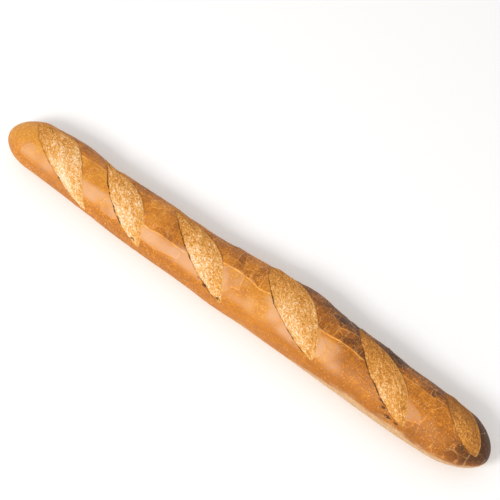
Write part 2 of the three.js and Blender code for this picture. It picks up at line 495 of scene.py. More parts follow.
@dataclass(frozen=True)
class Flake:
    """A plate of crust with a crisp border, which lifted a little as the loaf grew under it.

    Attributes:
        corners: Its corners, as places along the loaf and angles round it.
        lift: How far it stands proud, in millimetres.
        plate_highlight_and_shade: How strongly a pinkish painted highlight shows on it, 0 to 1; under 0,
        how much darker it is, partly browner crust and partly painted shade.
        margin: How far outside its corners distances to it are still worked out.
    """

    corners: tuple[tuple[float, float], ...]
    lift: float
    plate_highlight_and_shade: float
    margin: float = 4.0

    def inside(self, place: np.ndarray, girth: float) -> np.ndarray:
        """Distance in from the border, under 0 outside it.

        Args:
            place: Places along the loaf and arcs from the crown, shape (n, 2).
            girth: Half width of the loaf, which turns an angle to an arc.

        Returns:
            Distances in millimetres, shape (n,).
        """
        ends = np.array([(x, math.radians(angle) * girth) for x, angle in self.corners])
        low, high = ends.min(axis=0) - self.margin, ends.max(axis=0) + self.margin
        beside = np.all((place > low) & (place < high), axis=1)
        depth = np.full(len(place), -FAR_OFF)
        place = place[beside]
        nearest = np.full(len(place), np.inf)
        within = np.zeros(len(place), dtype=bool)
        for start, finish in zip(ends, np.roll(ends, -1, axis=0)):
            run = finish - start
            share = np.clip((place - start) @ run / (run @ run), 0.0, 1.0)
            nearest = np.minimum(nearest, np.linalg.norm(place - start - share[:, None] * run, axis=1))
            crosses = (start[1] > place[:, 1]) != (finish[1] > place[:, 1])
            at = start[0] + (place[:, 1] - start[1]) * run[0] / (run[1] + TINY)
            within ^= crosses & (place[:, 0] < at)
        depth[beside] = np.where(within, nearest, -nearest)
        return depth


@dataclass(frozen=True)
class Pit:
    """A small hole, where a gas bubble opened or a lip tore.

    Attributes:
        x: Its place along the loaf.
        angle: Its angle from the crown.
        size: Half its length, in millimetres.
        depth: How deep it is, in millimetres.
        char: How dark the hole is painted, as shade inside it; over 1, its dark edge is wider.
        roundness: How wide it is, as a share of its length.
    """

    x: float
    angle: float
    size: float
    depth: float
    char: float
    roundness: float = 0.7


@dataclass(frozen=True)
class Swirl:
    """Crumb that turned on itself as it tore, so that its fibres run in rings.

    Attributes:
        x: Its middle's place along the loaf.
        angle: Its middle's angle from the crown.
        radius: How far out the rings reach, in millimetres.
        pitch: Distance from ring to ring, in millimetres.
    """

    x: float
    angle: float
    radius: float
    pitch: float


@dataclass
class SkinPatch:
    """Everything known about a set of places on the skin, in millimetres.

    Attributes:
        x: Places along the loaf.
        angle: Angles round it.
        plain: The same places on the plain loaf.
        normal: Outward directions of the plain loaf there.
        height: How far the skin stands out over the plain loaf.
        slide: How far it moves towards +X over a crevice.
        tile: Size of the crust's tiles.
        crumb: Distance in from the torn edge of the nearest slash, under 0 on the crust.
        across: Share of the way from a slash's lip to its rim.
        crevice: How far the lip stands open over a crevice, which the shader paints dark as shadow.
        hole: How strongly a small hole is darkened with painted shade.
        toast_and_shade: How much darker than fresh crumb the crumb is: toasting and painted shade.
        bake: How dark the crust is: browning and painted shade.
        crackle: How far the crust cracked into tiles.
        fold: Distance from a crease, under 0 beyond it.
        crease: How strongly that crease shows.
        flake: Distance in from the border of the nearest plate, under 0 outside it.
        plate_highlight_and_shade: That plate's painted highlight; under 0, its browning and painted shade.
        painted_sheen: How strongly the painted highlight band shows on the crust.
        calm: How weak the crust's fine grain is.
        under: How far the crust is the pale underside's.
        relief_shade: Relief of the crumb alone, which paints light on its high places and shade in its
            hollows.
        grains: How thickly torn grains of crumb lie.
        specks: How thickly flour specks lie.
        cell: Places in tile sizes.
        grain: Places in a slash's own frame, along its cut and aside from it.
        fibre: Direction of the crumb's fibres.
    """

    x: np.ndarray
    angle: np.ndarray
    plain: np.ndarray
    normal: np.ndarray
    height: np.ndarray
    slide: np.ndarray
    tile: np.ndarray
    crumb: np.ndarray
    across: np.ndarray
    crevice: np.ndarray
    hole: np.ndarray
    toast_and_shade: np.ndarray
    bake: np.ndarray
    crackle: np.ndarray
    fold: np.ndarray
    crease: np.ndarray
    flake: np.ndarray
    plate_highlight_and_shade: np.ndarray
    painted_sheen: np.ndarray
    calm: np.ndarray
    under: np.ndarray
    relief_shade: np.ndarray
    grains: np.ndarray
    specks: np.ndarray
    cell: np.ndarray
    grain: np.ndarray
    fibre: np.ndarray

    @classmethod
    def at(cls, plain: PlainLoaf, x: np.ndarray, angle: np.ndarray) -> "SkinPatch":
        """Start with the plain loaf's skin.

        Args:
            plain: The loaf before slashing.
            x: Places along it, shape (n,).
            angle: Angles round it, shape (n,).

        Returns:
            A patch with no relief, all of it crust.
        """
        flat = {spot.name: np.zeros(len(x)) for spot in fields(cls)}
        flat |= {name: np.zeros((len(x), 3)) for name in ("cell", "grain", "fibre")}
        flat |= {"x": x, "angle": angle, "plain": plain.points(x, angle), "normal": plain.normals(x, angle)}
        flat |= {name: np.full(len(x), -FAR_OFF) for name in ("crumb", "flake")}
        flat |= {"fold": np.full(len(x), FAR_OFF)}
        return cls(**flat)

    def kept(self) -> dict[str, np.ndarray]:
        """What the mesh keeps for the materials and the Geometry Nodes, by attribute name."""
        worked = ("x", "angle", "plain", "normal", "height", "slide", "tile")
        return {spot.name: getattr(self, spot.name) for spot in fields(self) if spot.name not in worked}


@dataclass
class SlashView:
    """How the places of a patch lie to one slash.

    Attributes:
        slash: The slash.
        share: Share of the way along the cut, 0 to 1 between its tips.
        arc: Distance round the loaf from where the blade went in.
        to_lip: Distance to the lip edge.
        to_rim: Distance to the rim edge.
        past_lip: Whether a place is beyond the lip edge, towards +X.
        past_rim: Whether it is beyond the rim edge, towards +X.
        inside: Whether it is in the opening.
        torn: The places in the slash's own frame, with its own number as the third axis.
        across: Share of the way from the lip to the rim.
        opened: How wide the slash is open there, 0 at its tips and 1 in its middle.
    """

    slash: Slash
    share: np.ndarray
    arc: np.ndarray
    to_lip: np.ndarray
    to_rim: np.ndarray
    past_lip: np.ndarray
    past_rim: np.ndarray
    inside: np.ndarray
    torn: np.ndarray
    across: np.ndarray
    opened: np.ndarray

    @classmethod
    def of(cls, slash: Slash, x: np.ndarray, angle: np.ndarray) -> "SlashView":
        """Look at the places of a patch from a slash.

        Args:
            slash: The slash.
            x: Places along the loaf, shape (n,).
            angle: Angles round it, shape (n,).

        Returns:
            Where they lie.
        """
        along, aside = slash.frame(x, angle)
        arc = slash.arc(angle)
        share = along / slash.length
        to_lip, to_rim = (slash.away(x, angle, edge) for edge in Edge)
        past_lip, past_rim = (x > slash.edge(angle, edge) for edge in Edge)
        return cls(
            slash=slash,
            share=share,
            arc=arc,
            to_lip=to_lip,
            to_rim=to_rim,
            past_lip=past_lip,
            past_rim=past_rim,
            inside=past_lip & ~past_rim & (arc > 0) & (arc < slash.climb),
            torn=np.stack([along, aside, np.full(len(x), 50.0 * slash.seed)], axis=1),
            across=to_lip / (to_lip + to_rim + TINY),
            opened=np.sqrt(hill(share, 0.5)),
        )


@dataclass(frozen=True)
class Tearing:
    """How a slash tears as it bursts open. Heights, depths and runs are in millimetres.

    Attributes:
        lip_height: How far the crust curls up along the lip.
        lip_run: How far the curl reaches into the crust.
        lip_least: Share of the curl that is left at the tips.
        overhang: How far the lip leans over the crevice.
        overhang_run: How far the lean reaches into the crust.
        undercut: Shares of the cut between which the undercut rises, and falls again.
        crevice_depth: Depth of the gap under the lip.
        crevice_run: Width of the gap.
        crevice_least: Share of the gap's depth that is left where the lip didn't part.
        parting: Where along the lip it parted.
        parting_ramp: Levels of that between which it parts, for a lip that hardly parts.
        parting_reach: How far a lip that parts all along lowers those levels.
        rim_height: How far the crumb stands up along the rim.
        rim_run: How far that reaches into the crumb.
        step_depth: How far the crust lies lower just past the rim.
        step_run: How far that step reaches.
        swell_peak: Share of the way across at which the crumb is highest.
        lumps: Coarse lumps of the crumb.
        fibres: Its fine torn fibres.
        ring_height: Height of the swirl's rings.
        edge_run: How far from its edges the crumb's roughness is full.
        edge_reach: How far out over the crust the materials still follow an edge.
        tip_toast_and_shade: How much darker the crumb is by the far tip: toasting and painted shade.
        fresh_and_lit_paling: How much paler it is beside the lip's lower half: less toasting and painted
            light.
        pinch_depth: How far the skin is drawn in where the blade went in.
        pinch_run: How far that reaches.
        pinch_ahead: How far ahead of the tip its middle lies.
    """

    lip_height: float = 1.0
    lip_run: float = 4.5
    lip_least: float = 0.3
    overhang: float = 0.9
    overhang_run: float = 1.2
    undercut: tuple[tuple[float, float], ...] = ((0.0, 0.3), (1.0, 0.93))
    crevice_depth: float = 2.0
    crevice_run: float = 1.4
    crevice_least: float = 0.08
    parting: Unevenness = Unevenness(1.0, 7.0, 3, stretch=(1.0, 0.0, 1.0))
    parting_ramp: tuple[float, float] = (0.7, 1.1)
    parting_reach: float = 1.5
    rim_height: float = 0.6
    rim_run: float = 2.2
    step_depth: float = 0.9
    step_run: float = 4.5
    swell_peak: float = 0.55
    lumps: Unevenness = Unevenness(0.55, 9.0, 1, 1, (1.0, 1.6, 1.0))
    fibres: Unevenness = Unevenness(0.34, 1.8, 2, stretch=(0.35, 1.0, 1.0))
    ring_height: float = 0.5
    edge_run: float = 2.0
    edge_reach: float = 6.0
    tip_toast_and_shade: float = 0.30
    fresh_and_lit_paling: float = 0.22
    pinch_depth: float = 1.3
    pinch_run: float = 11.0
    pinch_ahead: float = 14.0

    def burst(self, patch: SkinPatch, view: SlashView, rings: np.ndarray, swirled: np.ndarray) -> None:
        """Burst one slash open: curl its lip, swell its crumb, and tear its surface.

        Args:
            patch: The patch to change.
            view: How its places lie to the slash.
            rings: Heights of the swirl's rings at each place, -1 to 1.
            swirled: How strongly they show there, 0 to 1.
        """
        slash = view.slash
        ends = [smoothstep(low, high, view.share) for low, high in self.undercut]
        undercut = ends[0] * ends[1]
        levels = [level - self.parting_reach * slash.parted for level in self.parting_ramp]
        parted = undercut * view.opened * smoothstep(*levels, self.parting.at(view.torn, slash.seed))
        self._curl(patch, view, undercut)
        self._swell(patch, view, parted, rings, swirled)
        self._mark(patch, view, parted)
        ahead = patch.x - slash.enter_x - self.pinch_ahead
        patch.height -= self.pinch_depth * np.exp(-((np.hypot(ahead, view.arc) / self.pinch_run) ** 2))

    def _curl(self, patch: SkinPatch, view: SlashView, undercut: np.ndarray) -> None:
        """Curl the lip up and over the crevice, and lower the crust past the rim."""
        curled = self.lip_least + (1.0 - self.lip_least) * undercut
        lip = self.lip_height * curled * np.exp(-view.to_lip / self.lip_run) * view.opened
        lean = self.overhang * undercut * view.opened * np.exp(-view.to_lip / self.overhang_run)
        step = self.step_depth * np.exp(-view.to_rim / self.step_run) * view.opened
        patch.height += np.where(view.past_lip, 0.0, lip)
        patch.slide += np.where(view.past_lip, 0.0, lean)
        patch.height -= np.where(view.past_rim, step, 0.0)

    def _swell(
        self, patch: SkinPatch, view: SlashView, parted: np.ndarray, rings: np.ndarray, swirled: np.ndarray
    ) -> None:
        """Swell the crumb in the opening, sink the crevice, and roughen the torn surface."""
        swelling = view.slash.swell * hill(view.across, self.swell_peak)
        gap = self.crevice_least * view.opened + (1.0 - self.crevice_least) * parted
        crevice = self.crevice_depth * gap * np.exp(-view.to_lip / self.crevice_run)
        rim = self.rim_height * np.exp(-view.to_rim / self.rim_run)
        body = smoothstep(0.0, self.edge_run, view.to_lip) * smoothstep(0.0, self.edge_run, view.to_rim)
        lumps = self.lumps.at(view.torn, view.slash.seed)
        fibres = self.fibres.at(view.torn, view.slash.seed)
        rough = fibres * (1.0 - swirled) + self.ring_height * rings * swirled
        risen = view.opened * (swelling - crevice + rim + body * (lumps + rough))
        patch.height += np.where(view.inside, risen, 0.0)
        patch.relief_shade += np.where(view.inside, body * (rough + 0.4 * lumps), 0.0)

    def _mark(self, patch: SkinPatch, view: SlashView, parted: np.ndarray) -> None:
        """Say where the crumb shows, how dark it is with toasting and painted light and shade, and where
        grains lie.
        """
        reach = np.minimum(view.to_lip, view.to_rim) * np.where(view.inside, 1.0, -1.0)
        near = view.inside | (reach > np.maximum(patch.crumb, -self.edge_reach))
        patch.crumb = np.where(view.inside, reach, np.maximum(patch.crumb, reach))
        patch.across = np.where(near, view.across, patch.across)
        patch.crevice = np.where(near, parted, patch.crevice)
        shade = self.tip_toast_and_shade * smoothstep(0.65, 0.0, view.share)
        shade -= self.fresh_and_lit_paling * hill(view.share, 0.72) * smoothstep(0.75, 0.15, view.across)
        # Darker by the far tip and paler beside the lip's lower half: toasting, painted shade and painted
        # light.
        patch.toast_and_shade = np.where(near, view.slash.toast_and_shade + shade, patch.toast_and_shade)
        patch.grain = np.where(near[:, None], view.torn, patch.grain)
        thick = smoothstep(0.3, 1.5, reach) * (0.35 + 0.65 * view.opened)
        patch.grains = np.where(view.inside, thick, patch.grains)


@dataclass(frozen=True)
class BrowningAndPaintedLight:
    """Browning of the crust, its painted shade and highlight, and where it stayed floured or smooth.

    Attributes:
        least: Browning of the palest crust, 0 to 1.
        zones: What is darker or paler than that, and by how much: browning, and painted shade and light.
        drift: Random unevenness of the browning.
        flank: The near flank, where that unevenness is weak.
        flank_calm: Share of it that the flank lacks.
        smooth: Where the crust's fine grain is weak.
        near_floor: Angle at which the pale underside starts on the near side.
        far_floor: Angle at which it starts on the far side.
        floor_edge: How its border wanders, in degrees.
        floor_fade: Degrees from the border at which it starts, and at which it is full.
        highlight_start: Angle at which the painted highlight band starts.
        highlight_rise: Degrees over which it rises.
        painted_highlight: Where it fades out again.
        highlight_level: How strong it is on average.
        highlight_drift: Random unevenness of that.
        lit: A painted highlight beside the lower end of the fourth slash.
        lit_paler: How much paler the crust is painted there.
        lit_highlight: How strongly the painted highlight band shows there.
        dull: Where the painted highlight band is weaker.
    """

    least: float = 0.30
    # Partly browning and partly painted shade and light: darker on the far side, on the near flank and
    # towards the +X end, paler towards the -X end.
    zones: tuple[Zone, ...] = (
        Zone(0.11, along=((-280, -210),)),
        Zone(0.17, along=((30, 150),)),
        Zone(0.50, along=((252, 292),), around=((95, 20),)),
        Zone(0.14, around=((-25, -65),)),
        Zone(0.10, along=((85, 115),), around=((-25, -65),)),
        Zone(0.18, around=((30, 62),)),
        Zone(-0.10, along=((-80, 120),), around=((30, 62),)),
        Zone(0.10, along=((112, 140), (200, 170)), around=((45, 10),)),
    )
    drift: tuple[Unevenness, ...] = (Unevenness(0.10, 34.0, 5), Unevenness(0.07, 9.0, 6))
    flank: Zone = Zone(1.0, around=((30, 62),))
    flank_calm: float = 0.7
    smooth: Zone = Zone(1.0, along=((-150, 100),), around=((30, 62),))
    near_floor: tuple[Zone, ...] = (
        Zone(96.0),
        Zone(-27.0, along=((60, 165),)),
        Zone(7.0, along=((200, 250),)),
    )
    far_floor: float = 104.0
    floor_edge: tuple[Unevenness, ...] = (
        Unevenness(3.0, 30.0, 7, stretch=(1.0, 0.0, 0.0)),
        Unevenness(6.0, 4.0, 9, stretch=(0.3, 1.0, 1.0)),
    )
    floor_fade: tuple[float, float] = (-7.0, 9.0)
    highlight_start: tuple[Zone, ...] = (Zone(4.0), Zone(-18.0, along=((-60, -15), (150, 90))))
    highlight_rise: float = 16.0
    painted_highlight: Zone = Zone(1.0, along=((-284, -262),), around=((58, 36),))
    highlight_level: float = 0.75
    highlight_drift: Unevenness = Unevenness(1.1, 26.0, 8)
    lit: Zone = Zone(1.0, along=((98, 110), (138, 120)), around=((-6, 4), (50, 34)))
    lit_paler: float = 0.12
    lit_highlight: float = 0.7
    dull: Zone = Zone(0.8, along=((125, 150),))

    def brown(self, patch: SkinPatch) -> None:
        """Brown the crust and paint its shade, more to the far side and +X end, hardly underneath; paint
        its highlight.
        """
        x, angle = patch.x, patch.angle
        lit = self.lit.at(x, angle)
        uneven = 1.0 - self.flank_calm * self.flank.at(x, angle)
        patch.bake = self.least + add_up(self.zones, x, angle) - self.lit_paler * lit
        patch.bake += uneven * add_up(self.drift, patch.plain)
        patch.calm = self.smooth.at(x, angle)
        floor = np.where(angle > 0, add_up(self.near_floor, x, angle), self.far_floor)
        floor += add_up(self.floor_edge, patch.plain)
        patch.under = smoothstep(*self.floor_fade, np.abs(angle) - floor)
        start = add_up(self.highlight_start, x, angle)
        glow = np.clip(self.highlight_level + self.highlight_drift.at(patch.plain), 0.0, 1.0)
        band = smoothstep(start, start + self.highlight_rise, angle) * self.painted_highlight.at(x, angle) * glow
        patch.painted_sheen = np.maximum(band, self.lit_highlight * lit) * (1.0 - self.dull.at(x, angle))


@dataclass
class LoafRelief:
    """All the relief and browning that the oven gave the plain loaf, with painted shade and highlight.

    Attributes:
        plain: The loaf before slashing.
        slashes: The six cuts, from the -X end.
        creases: The crease of each bridge of crust between two cuts.
        flakes: The plates of crust with a border of their own.
        pits: The small holes.
        swirl: The one place where the crumb turned on itself.
        tearing: How the slashes tore.
        browning_and_shade: How the crust browned, with its painted shade and highlight.
        crease_run: How far a crease's slopes reach, in millimetres.
        crease_wander: How a crease wanders round the loaf.
        flake_wander: How a plate's border wanders.
        flake_gap: How far a plate drew back from its corners, in millimetres.
        flake_slope: How far the step at a plate's border reaches either way.
        crazed: The blunt end, where the crust cracked into tiles with no crease.
        tile_warp: How far the tiles are from even.
        tile_stretch: What each axis is multiplied by, which draws the tiles out round the loaf.
        end_tile: Size of the tiles that belong to no bridge.
        girth: Half width of the loaf, which turns an angle to an arc.
        shaping: Slow unevenness from shaping by hand.
        crust_grain: The crust's own fine relief.
        speck_drift: Where the loose specks gather.
        speck_least: Share of them that lies everywhere else.
        speck_reach: Angles over which they thin out towards the underside.
    """

    plain: PlainLoaf = field(default_factory=PlainLoaf)
    slashes: tuple[Slash, ...] = (
        Slash(-273, -51, -177, 82, 12, 0.27, 24, 0.41, 1.6, 0.09, 0.30, 11, 29.3),
        Slash(-195, -73, -106, 72, 10, 0.49, 21, 0.63, 1.6, 0.17, 0.34, 22, 29.8),
        Slash(-101, -61, -1, 68, 9, 0.41, 22, 0.59, 1.8, 0.19, 0.55, 33, 30.8),
        Slash(25, -80, 108, 53, 24, 0.29, 18, 0.65, 2.2, 0.21, 0.62, 44, 36.1),
        Slash(127, -60, 217, 56, 11, 0.44, 20, 0.59, 1.8, 0.36, 0.62, 55, 33.4),
        Slash(237, -79, 288, 30, 16, 0.25, 15, 0.64, 1.2, 0.63, 0.20, 66, 29.1),
    )
    creases: tuple[Crease, ...] = (
        Crease(-30, 0.9, 0.45, 0.16, 15),
        Crease(20, 0.9, 0.65, 0.12, 17),
        Crease(-8, 1.1, 0.65, 0.10, 19),
        Crease(-7, 1.1, 0.7, 0.22, 12),
        Crease(-27, 0.6, 0.7, 0.12, 15),
    )
    flakes: tuple[Flake, ...] = (
        Flake(
            ((-269, 50), (-268, 25), (-263, 14), (-248, 11), (-205, 48), (-196, 66), (-232, 66)),
            lift=0.5,
            plate_highlight_and_shade=0.6,
        ),
        Flake(((-163, 33), (-160, 18), (-148, 12), (-138, 40), (-145, 50), (-160, 48)), 0.4, 0.8),
        Flake(((-124, -2), (-113, -8), (-104, -6), (-101, 10), (-104, 20), (-112, 22)), 0.4, 0.3),
        Flake(((-120, 26), (-102, 17), (-84, 18), (-62, 24), (-62, 38), (-86, 48), (-108, 48)), 0.6, 0.9),
        Flake(
            ((-22, 2), (-13, -8), (-4, -13), (2, -12), (7, -5), (10, 19), (2, 23), (-1, 34), (-9, 44)),
            lift=0.6,
            plate_highlight_and_shade=1.0,
        ),
        Flake(((88, -12), (101, -2), (113, 13), (115, 22), (112, 39), (106, 50), (92, 40)), 0.5, 0.8),
        Flake(((198, 0), (208, 2), (226, 18), (229, 31), (217, 39), (204, 40)), 0.5, 1.0),
        Flake(((-10, -3), (-13, -40), (-12, -58), (-1, -62), (0, -3)), 0.4, -0.42),
        Flake(((0, -3), (-1, -62), (6, -60), (12, -3)), 0.2, -0.32),
        Flake(((12, -3), (6, -60), (16, -62), (22, -40), (25, -3)), 0.4, -0.38),
        Flake(((84, -3), (83, -40), (94, -42), (93, -3)), 0.2, -0.22),
        Flake(((93, -3), (94, -38), (102, -40), (102, -3)), 0.3, -0.15),
        Flake(((102, -3), (102, -40), (106, -30), (112, -27), (112, -3)), 0.4, -0.05),
        Flake(((112, -3), (113, -28), (122, -33), (122, -3)), 0.3, -0.14),
        Flake(((122, -3), (123, -33), (134, -35), (138, -3)), 0.4, -0.08),
        Flake(
            ((97, -42), (104, -54), (118, -58), (130, -52), (134, -35), (122, -33), (112, -28)),
            lift=0.4,
            plate_highlight_and_shade=-0.32,
        ),
        Flake(((220, -18), (220, -43), (230, -46), (237, -42), (241, -18)), 0.4, -0.4),
        Flake(
            ((230, -2), (238, 6), (243, 15), (248, 28), (250, 50), (246, 72), (232, 70), (229, 31)),
            lift=0.3,
            plate_highlight_and_shade=0.1,
        ),
        Flake(
            ((239, -22), (256, -2), (266, 20), (262, 50), (264, 68), (252, 75), (247, 27), (231, -4)),
            lift=0.4,
            plate_highlight_and_shade=-0.1,
        ),
        Flake(((252, 56), (254, 45), (259, 45), (260, 63), (252, 66)), 0.3, -0.3),
        Flake(((267, 17), (283, 27), (283, 44), (273, 41), (267, 35)), 0.3, -0.15),
        Flake(((264, 43), (267, 36), (273, 43), (276, 57), (274, 75), (265, 70), (262, 54)), 0.5, -0.22),
        Flake(((276, 57), (274, 43), (283, 45), (283, 75), (276, 78)), 0.4, -0.2),
        Flake(((283, 25), (291, 10), (298, 20), (298, 60), (292, 78), (283, 78)), 0.4, -0.08),
    )
    pits: tuple[Pit, ...] = (
        Pit(-5, 60, 3.0, 2.2, 1.0),
        Pit(-33, 44, 1.4, 1.2, 0.8),
        Pit(-24, 52, 2.6, 1.6, 1.0),
        Pit(-39, 19, 1.3, 1.2, 0.7),
        Pit(-38, 10, 1.2, 1.0, 0.6),
        Pit(-33, 28, 1.0, 0.9, 0.5),
        Pit(-145, 18, 1.1, 1.0, 0.5),
        Pit(-132, 33, 1.1, 1.0, 0.5),
        Pit(-111, 39, 1.2, 1.0, 0.6),
        Pit(-114, 60, 3.2, 1.2, 0.9),
        Pit(185, 35, 1.6, 1.0, 0.9),
        Pit(192, 44, 2.3, 1.2, 1.2),
        Pit(200, 56, 2.9, 1.3, 1.3),
        Pit(210, 58, 2.2, 1.0, 1.2),
        Pit(85, 45, 1.0, 0.8, 0.8),
        Pit(93, 47, 1.0, 0.8, 0.8),
        Pit(98, 49, 1.0, 0.8, 0.8),
    )
    swirl: Swirl = Swirl(-25, 26, 10.0, 4.0)
    tearing: Tearing = Tearing()
    browning_and_shade: BrowningAndPaintedLight = BrowningAndPaintedLight()
    crease_run: float = 11.0
    crease_wander: Unevenness = Unevenness(2.2, 26.0, 70, stretch=(1.0, 0.0, 0.0))
    flake_wander: Unevenness = Unevenness(0.9, 9.0, 120)
    flake_gap: float = 0.3
    flake_slope: float = 0.8
    crazed: Zone = Zone(0.42, along=((180, 206), (285, 262)), around=((80, 66),))
    tile_warp: Unevenness = Unevenness(2.2, 16.0, 80)
    tile_stretch: tuple[float, float, float] = (1.0, 0.7, 0.7)
    end_tile: float = 15.0
    girth: float = 32.0
    shaping: Unevenness = Unevenness(0.45, 48.0, 101)
    crust_grain: tuple[Unevenness, ...] = (
        Unevenness(0.12, 6.0, 104),
        Unevenness(0.12, 3.0, 103, stretch=(0.25, 1.0, 1.0)),
    )
    speck_drift: Unevenness = Unevenness(1.0, 22.0, 105)
    speck_least: float = 0.12
    speck_reach: tuple[float, float] = (100.0, 80.0)

    def study(self, x: np.ndarray, angle: np.ndarray) -> SkinPatch:
        """Work out the skin at the given places.

        Args:
            x: Places along the loaf, shape (n,).
            angle: Angles round it, shape (n,).

        Returns:
            The relief and browning there.
        """
        patch = SkinPatch.at(self.plain, x, angle)
        rings, swirled = self._rings(patch)
        for slash in self.slashes:
            view = SlashView.of(slash, x, angle)
            self.tearing.burst(patch, view, rings, swirled)
            self._lay_fibres(patch, view, swirled)
        self._pit(patch)
        self.browning_and_shade.brown(patch)
        self._fold(patch)
        self._flake(patch)
        self._crackle(patch)
        self._settle(patch)
        return patch

    def _rings(self, patch: SkinPatch) -> tuple[np.ndarray, np.ndarray]:
        """Heights of the swirl's rings, -1 to 1, and how strongly they show, 0 to 1."""
        swirl = self.swirl
        out = np.hypot(patch.x - swirl.x, np.radians(patch.angle - swirl.angle) * self.girth)
        return np.cos(2.0 * np.pi * out / swirl.pitch), smoothstep(swirl.radius, 0.6 * swirl.radius, out)

    def _lay_fibres(self, patch: SkinPatch, view: SlashView, swirled: np.ndarray) -> None:
        """Point the fibres of one slash along its cut, and round the swirl."""
        slash, turn = view.slash, np.radians(patch.angle)
        round_it = np.stack([0 * turn, -np.cos(turn), -self.plain.crown_rise * np.sin(turn)], axis=1)
        ahead = np.array([1.0, 0.0, 0.0])
        off_x = patch.x - self.swirl.x
        off_arc = np.radians(patch.angle - self.swirl.angle) * self.girth
        out = np.hypot(off_x, off_arc) + TINY
        lengthways = (1.0 - swirled) * slash.reach / slash.length - swirled * off_arc / out
        sideways = (1.0 - swirled) * slash.climb / slash.length + swirled * off_x / out
        laid = lengthways[:, None] * ahead + sideways[:, None] * round_it
        patch.fibre = np.where(view.inside[:, None], laid, patch.fibre)

    def _pit(self, patch: SkinPatch) -> None:
        """Open the small holes."""
        for pit in self.pits:
            along = (patch.x - pit.x) / pit.size
            aside = np.radians(patch.angle - pit.angle) * self.girth / (pit.roundness * pit.size)
            hole = np.exp(-(along**2) - aside**2)
            patch.height -= pit.depth * hole
            patch.hole = np.maximum(patch.hole, pit.char * hole)
            patch.grains *= 1.0 - hole

    def _bridge(self, index: int, x: np.ndarray, angle: np.ndarray) -> np.ndarray:
        """Share of the way across the bridge of crust after a slash, under 0 or over 1 outside it."""
        start = self.slashes[index].edge(angle, Edge.RIM)
        finish = self.slashes[index + 1].edge(angle, Edge.LIP)
        return (x - start) / (finish - start)

    def _fold(self, patch: SkinPatch) -> None:
        """Crease each bridge of crust, and darken what lies beyond the crease with browning and painted
        shade.
        """
        patch.tile = np.full(len(patch.x), self.end_tile)
        for index, crease in enumerate(self.creases):
            across = self._bridge(index, patch.x, patch.angle)
            within = (across > 0) & (across < 1)
            window = np.where(within, np.sqrt(hill(across, 0.5)), 0.0)
            off = np.radians(patch.angle - crease.angle) * self.plain.mean_half_width(patch.x)
            off += self.crease_wander.at(patch.plain, index)
            patch.height += crease.height * window * np.exp(-np.abs(off) / self.crease_run)
            beyond = np.where(within, smoothstep(0.6, -0.6, off), 0.0)
            # Beyond the crease the slope turns from the light: browner crust and painted shade.
            patch.bake += crease.browning_and_shade * beyond
            patch.crackle = np.maximum(patch.crackle, crease.crackle * beyond)
            patch.tile = np.where(within, crease.tile, patch.tile)
            patch.fold = np.where(within, off, patch.fold)
            patch.crease = np.where(within, np.clip(2.0 * window, 0.0, 1.0) * crease.height, patch.crease)

    def _flake(self, patch: SkinPatch) -> None:
        """Lift the plates of crust that have a border of their own; beyond a crease they end at it."""
        place = np.stack([patch.x, np.radians(patch.angle) * self.girth], axis=1)
        place += np.stack([self.flake_wander.at(patch.plain, k) for k in range(2)], axis=1)
        for flake in self.flakes:
            inside = flake.inside(place, self.girth) - self.flake_gap
            if max(angle for _, angle in flake.corners) < 0:
                inside = np.minimum(inside, -patch.fold)
            step = smoothstep(-self.flake_slope, self.flake_slope, inside)
            patch.height += flake.lift * step * (patch.crumb < 0)
            nearer = inside > patch.flake
            patch.plate_highlight_and_shade = np.where(nearer, flake.plate_highlight_and_shade, patch.plate_highlight_and_shade)
            patch.flake = np.where(nearer, inside, patch.flake)

    def _crackle(self, patch: SkinPatch) -> None:
        """Say where the crust cracked into small tiles, and number the tiles' places."""
        blunt = self.crazed.at(patch.x, np.abs(patch.angle)) * (patch.flake < 0.0)
        patch.crackle = np.maximum(patch.crackle, blunt) * (patch.crumb < 0)
        warp = np.stack([self.tile_warp.at(patch.plain, k) for k in range(3)], axis=1)
        patch.cell = (patch.plain + warp) * self.tile_stretch / patch.tile[:, None]

    def _settle(self, patch: SkinPatch) -> None:
        """Add the slow unevenness of shaping by hand, the crust's fine grain, and its loose specks."""
        full = self.plain.fullness(patch.x)
        patch.height += full * self.shaping.at(patch.plain)
        crust = smoothstep(0.0, -1.5, patch.crumb)
        patch.height += crust * full * add_up(self.crust_grain, patch.plain)
        drift = smoothstep(0.0, 0.9, self.speck_drift.at(patch.plain))
        share = self.speck_least + (1.0 - self.speck_least) * drift
        patch.specks = crust * full * share * smoothstep(*self.speck_reach, np.abs(patch.angle))


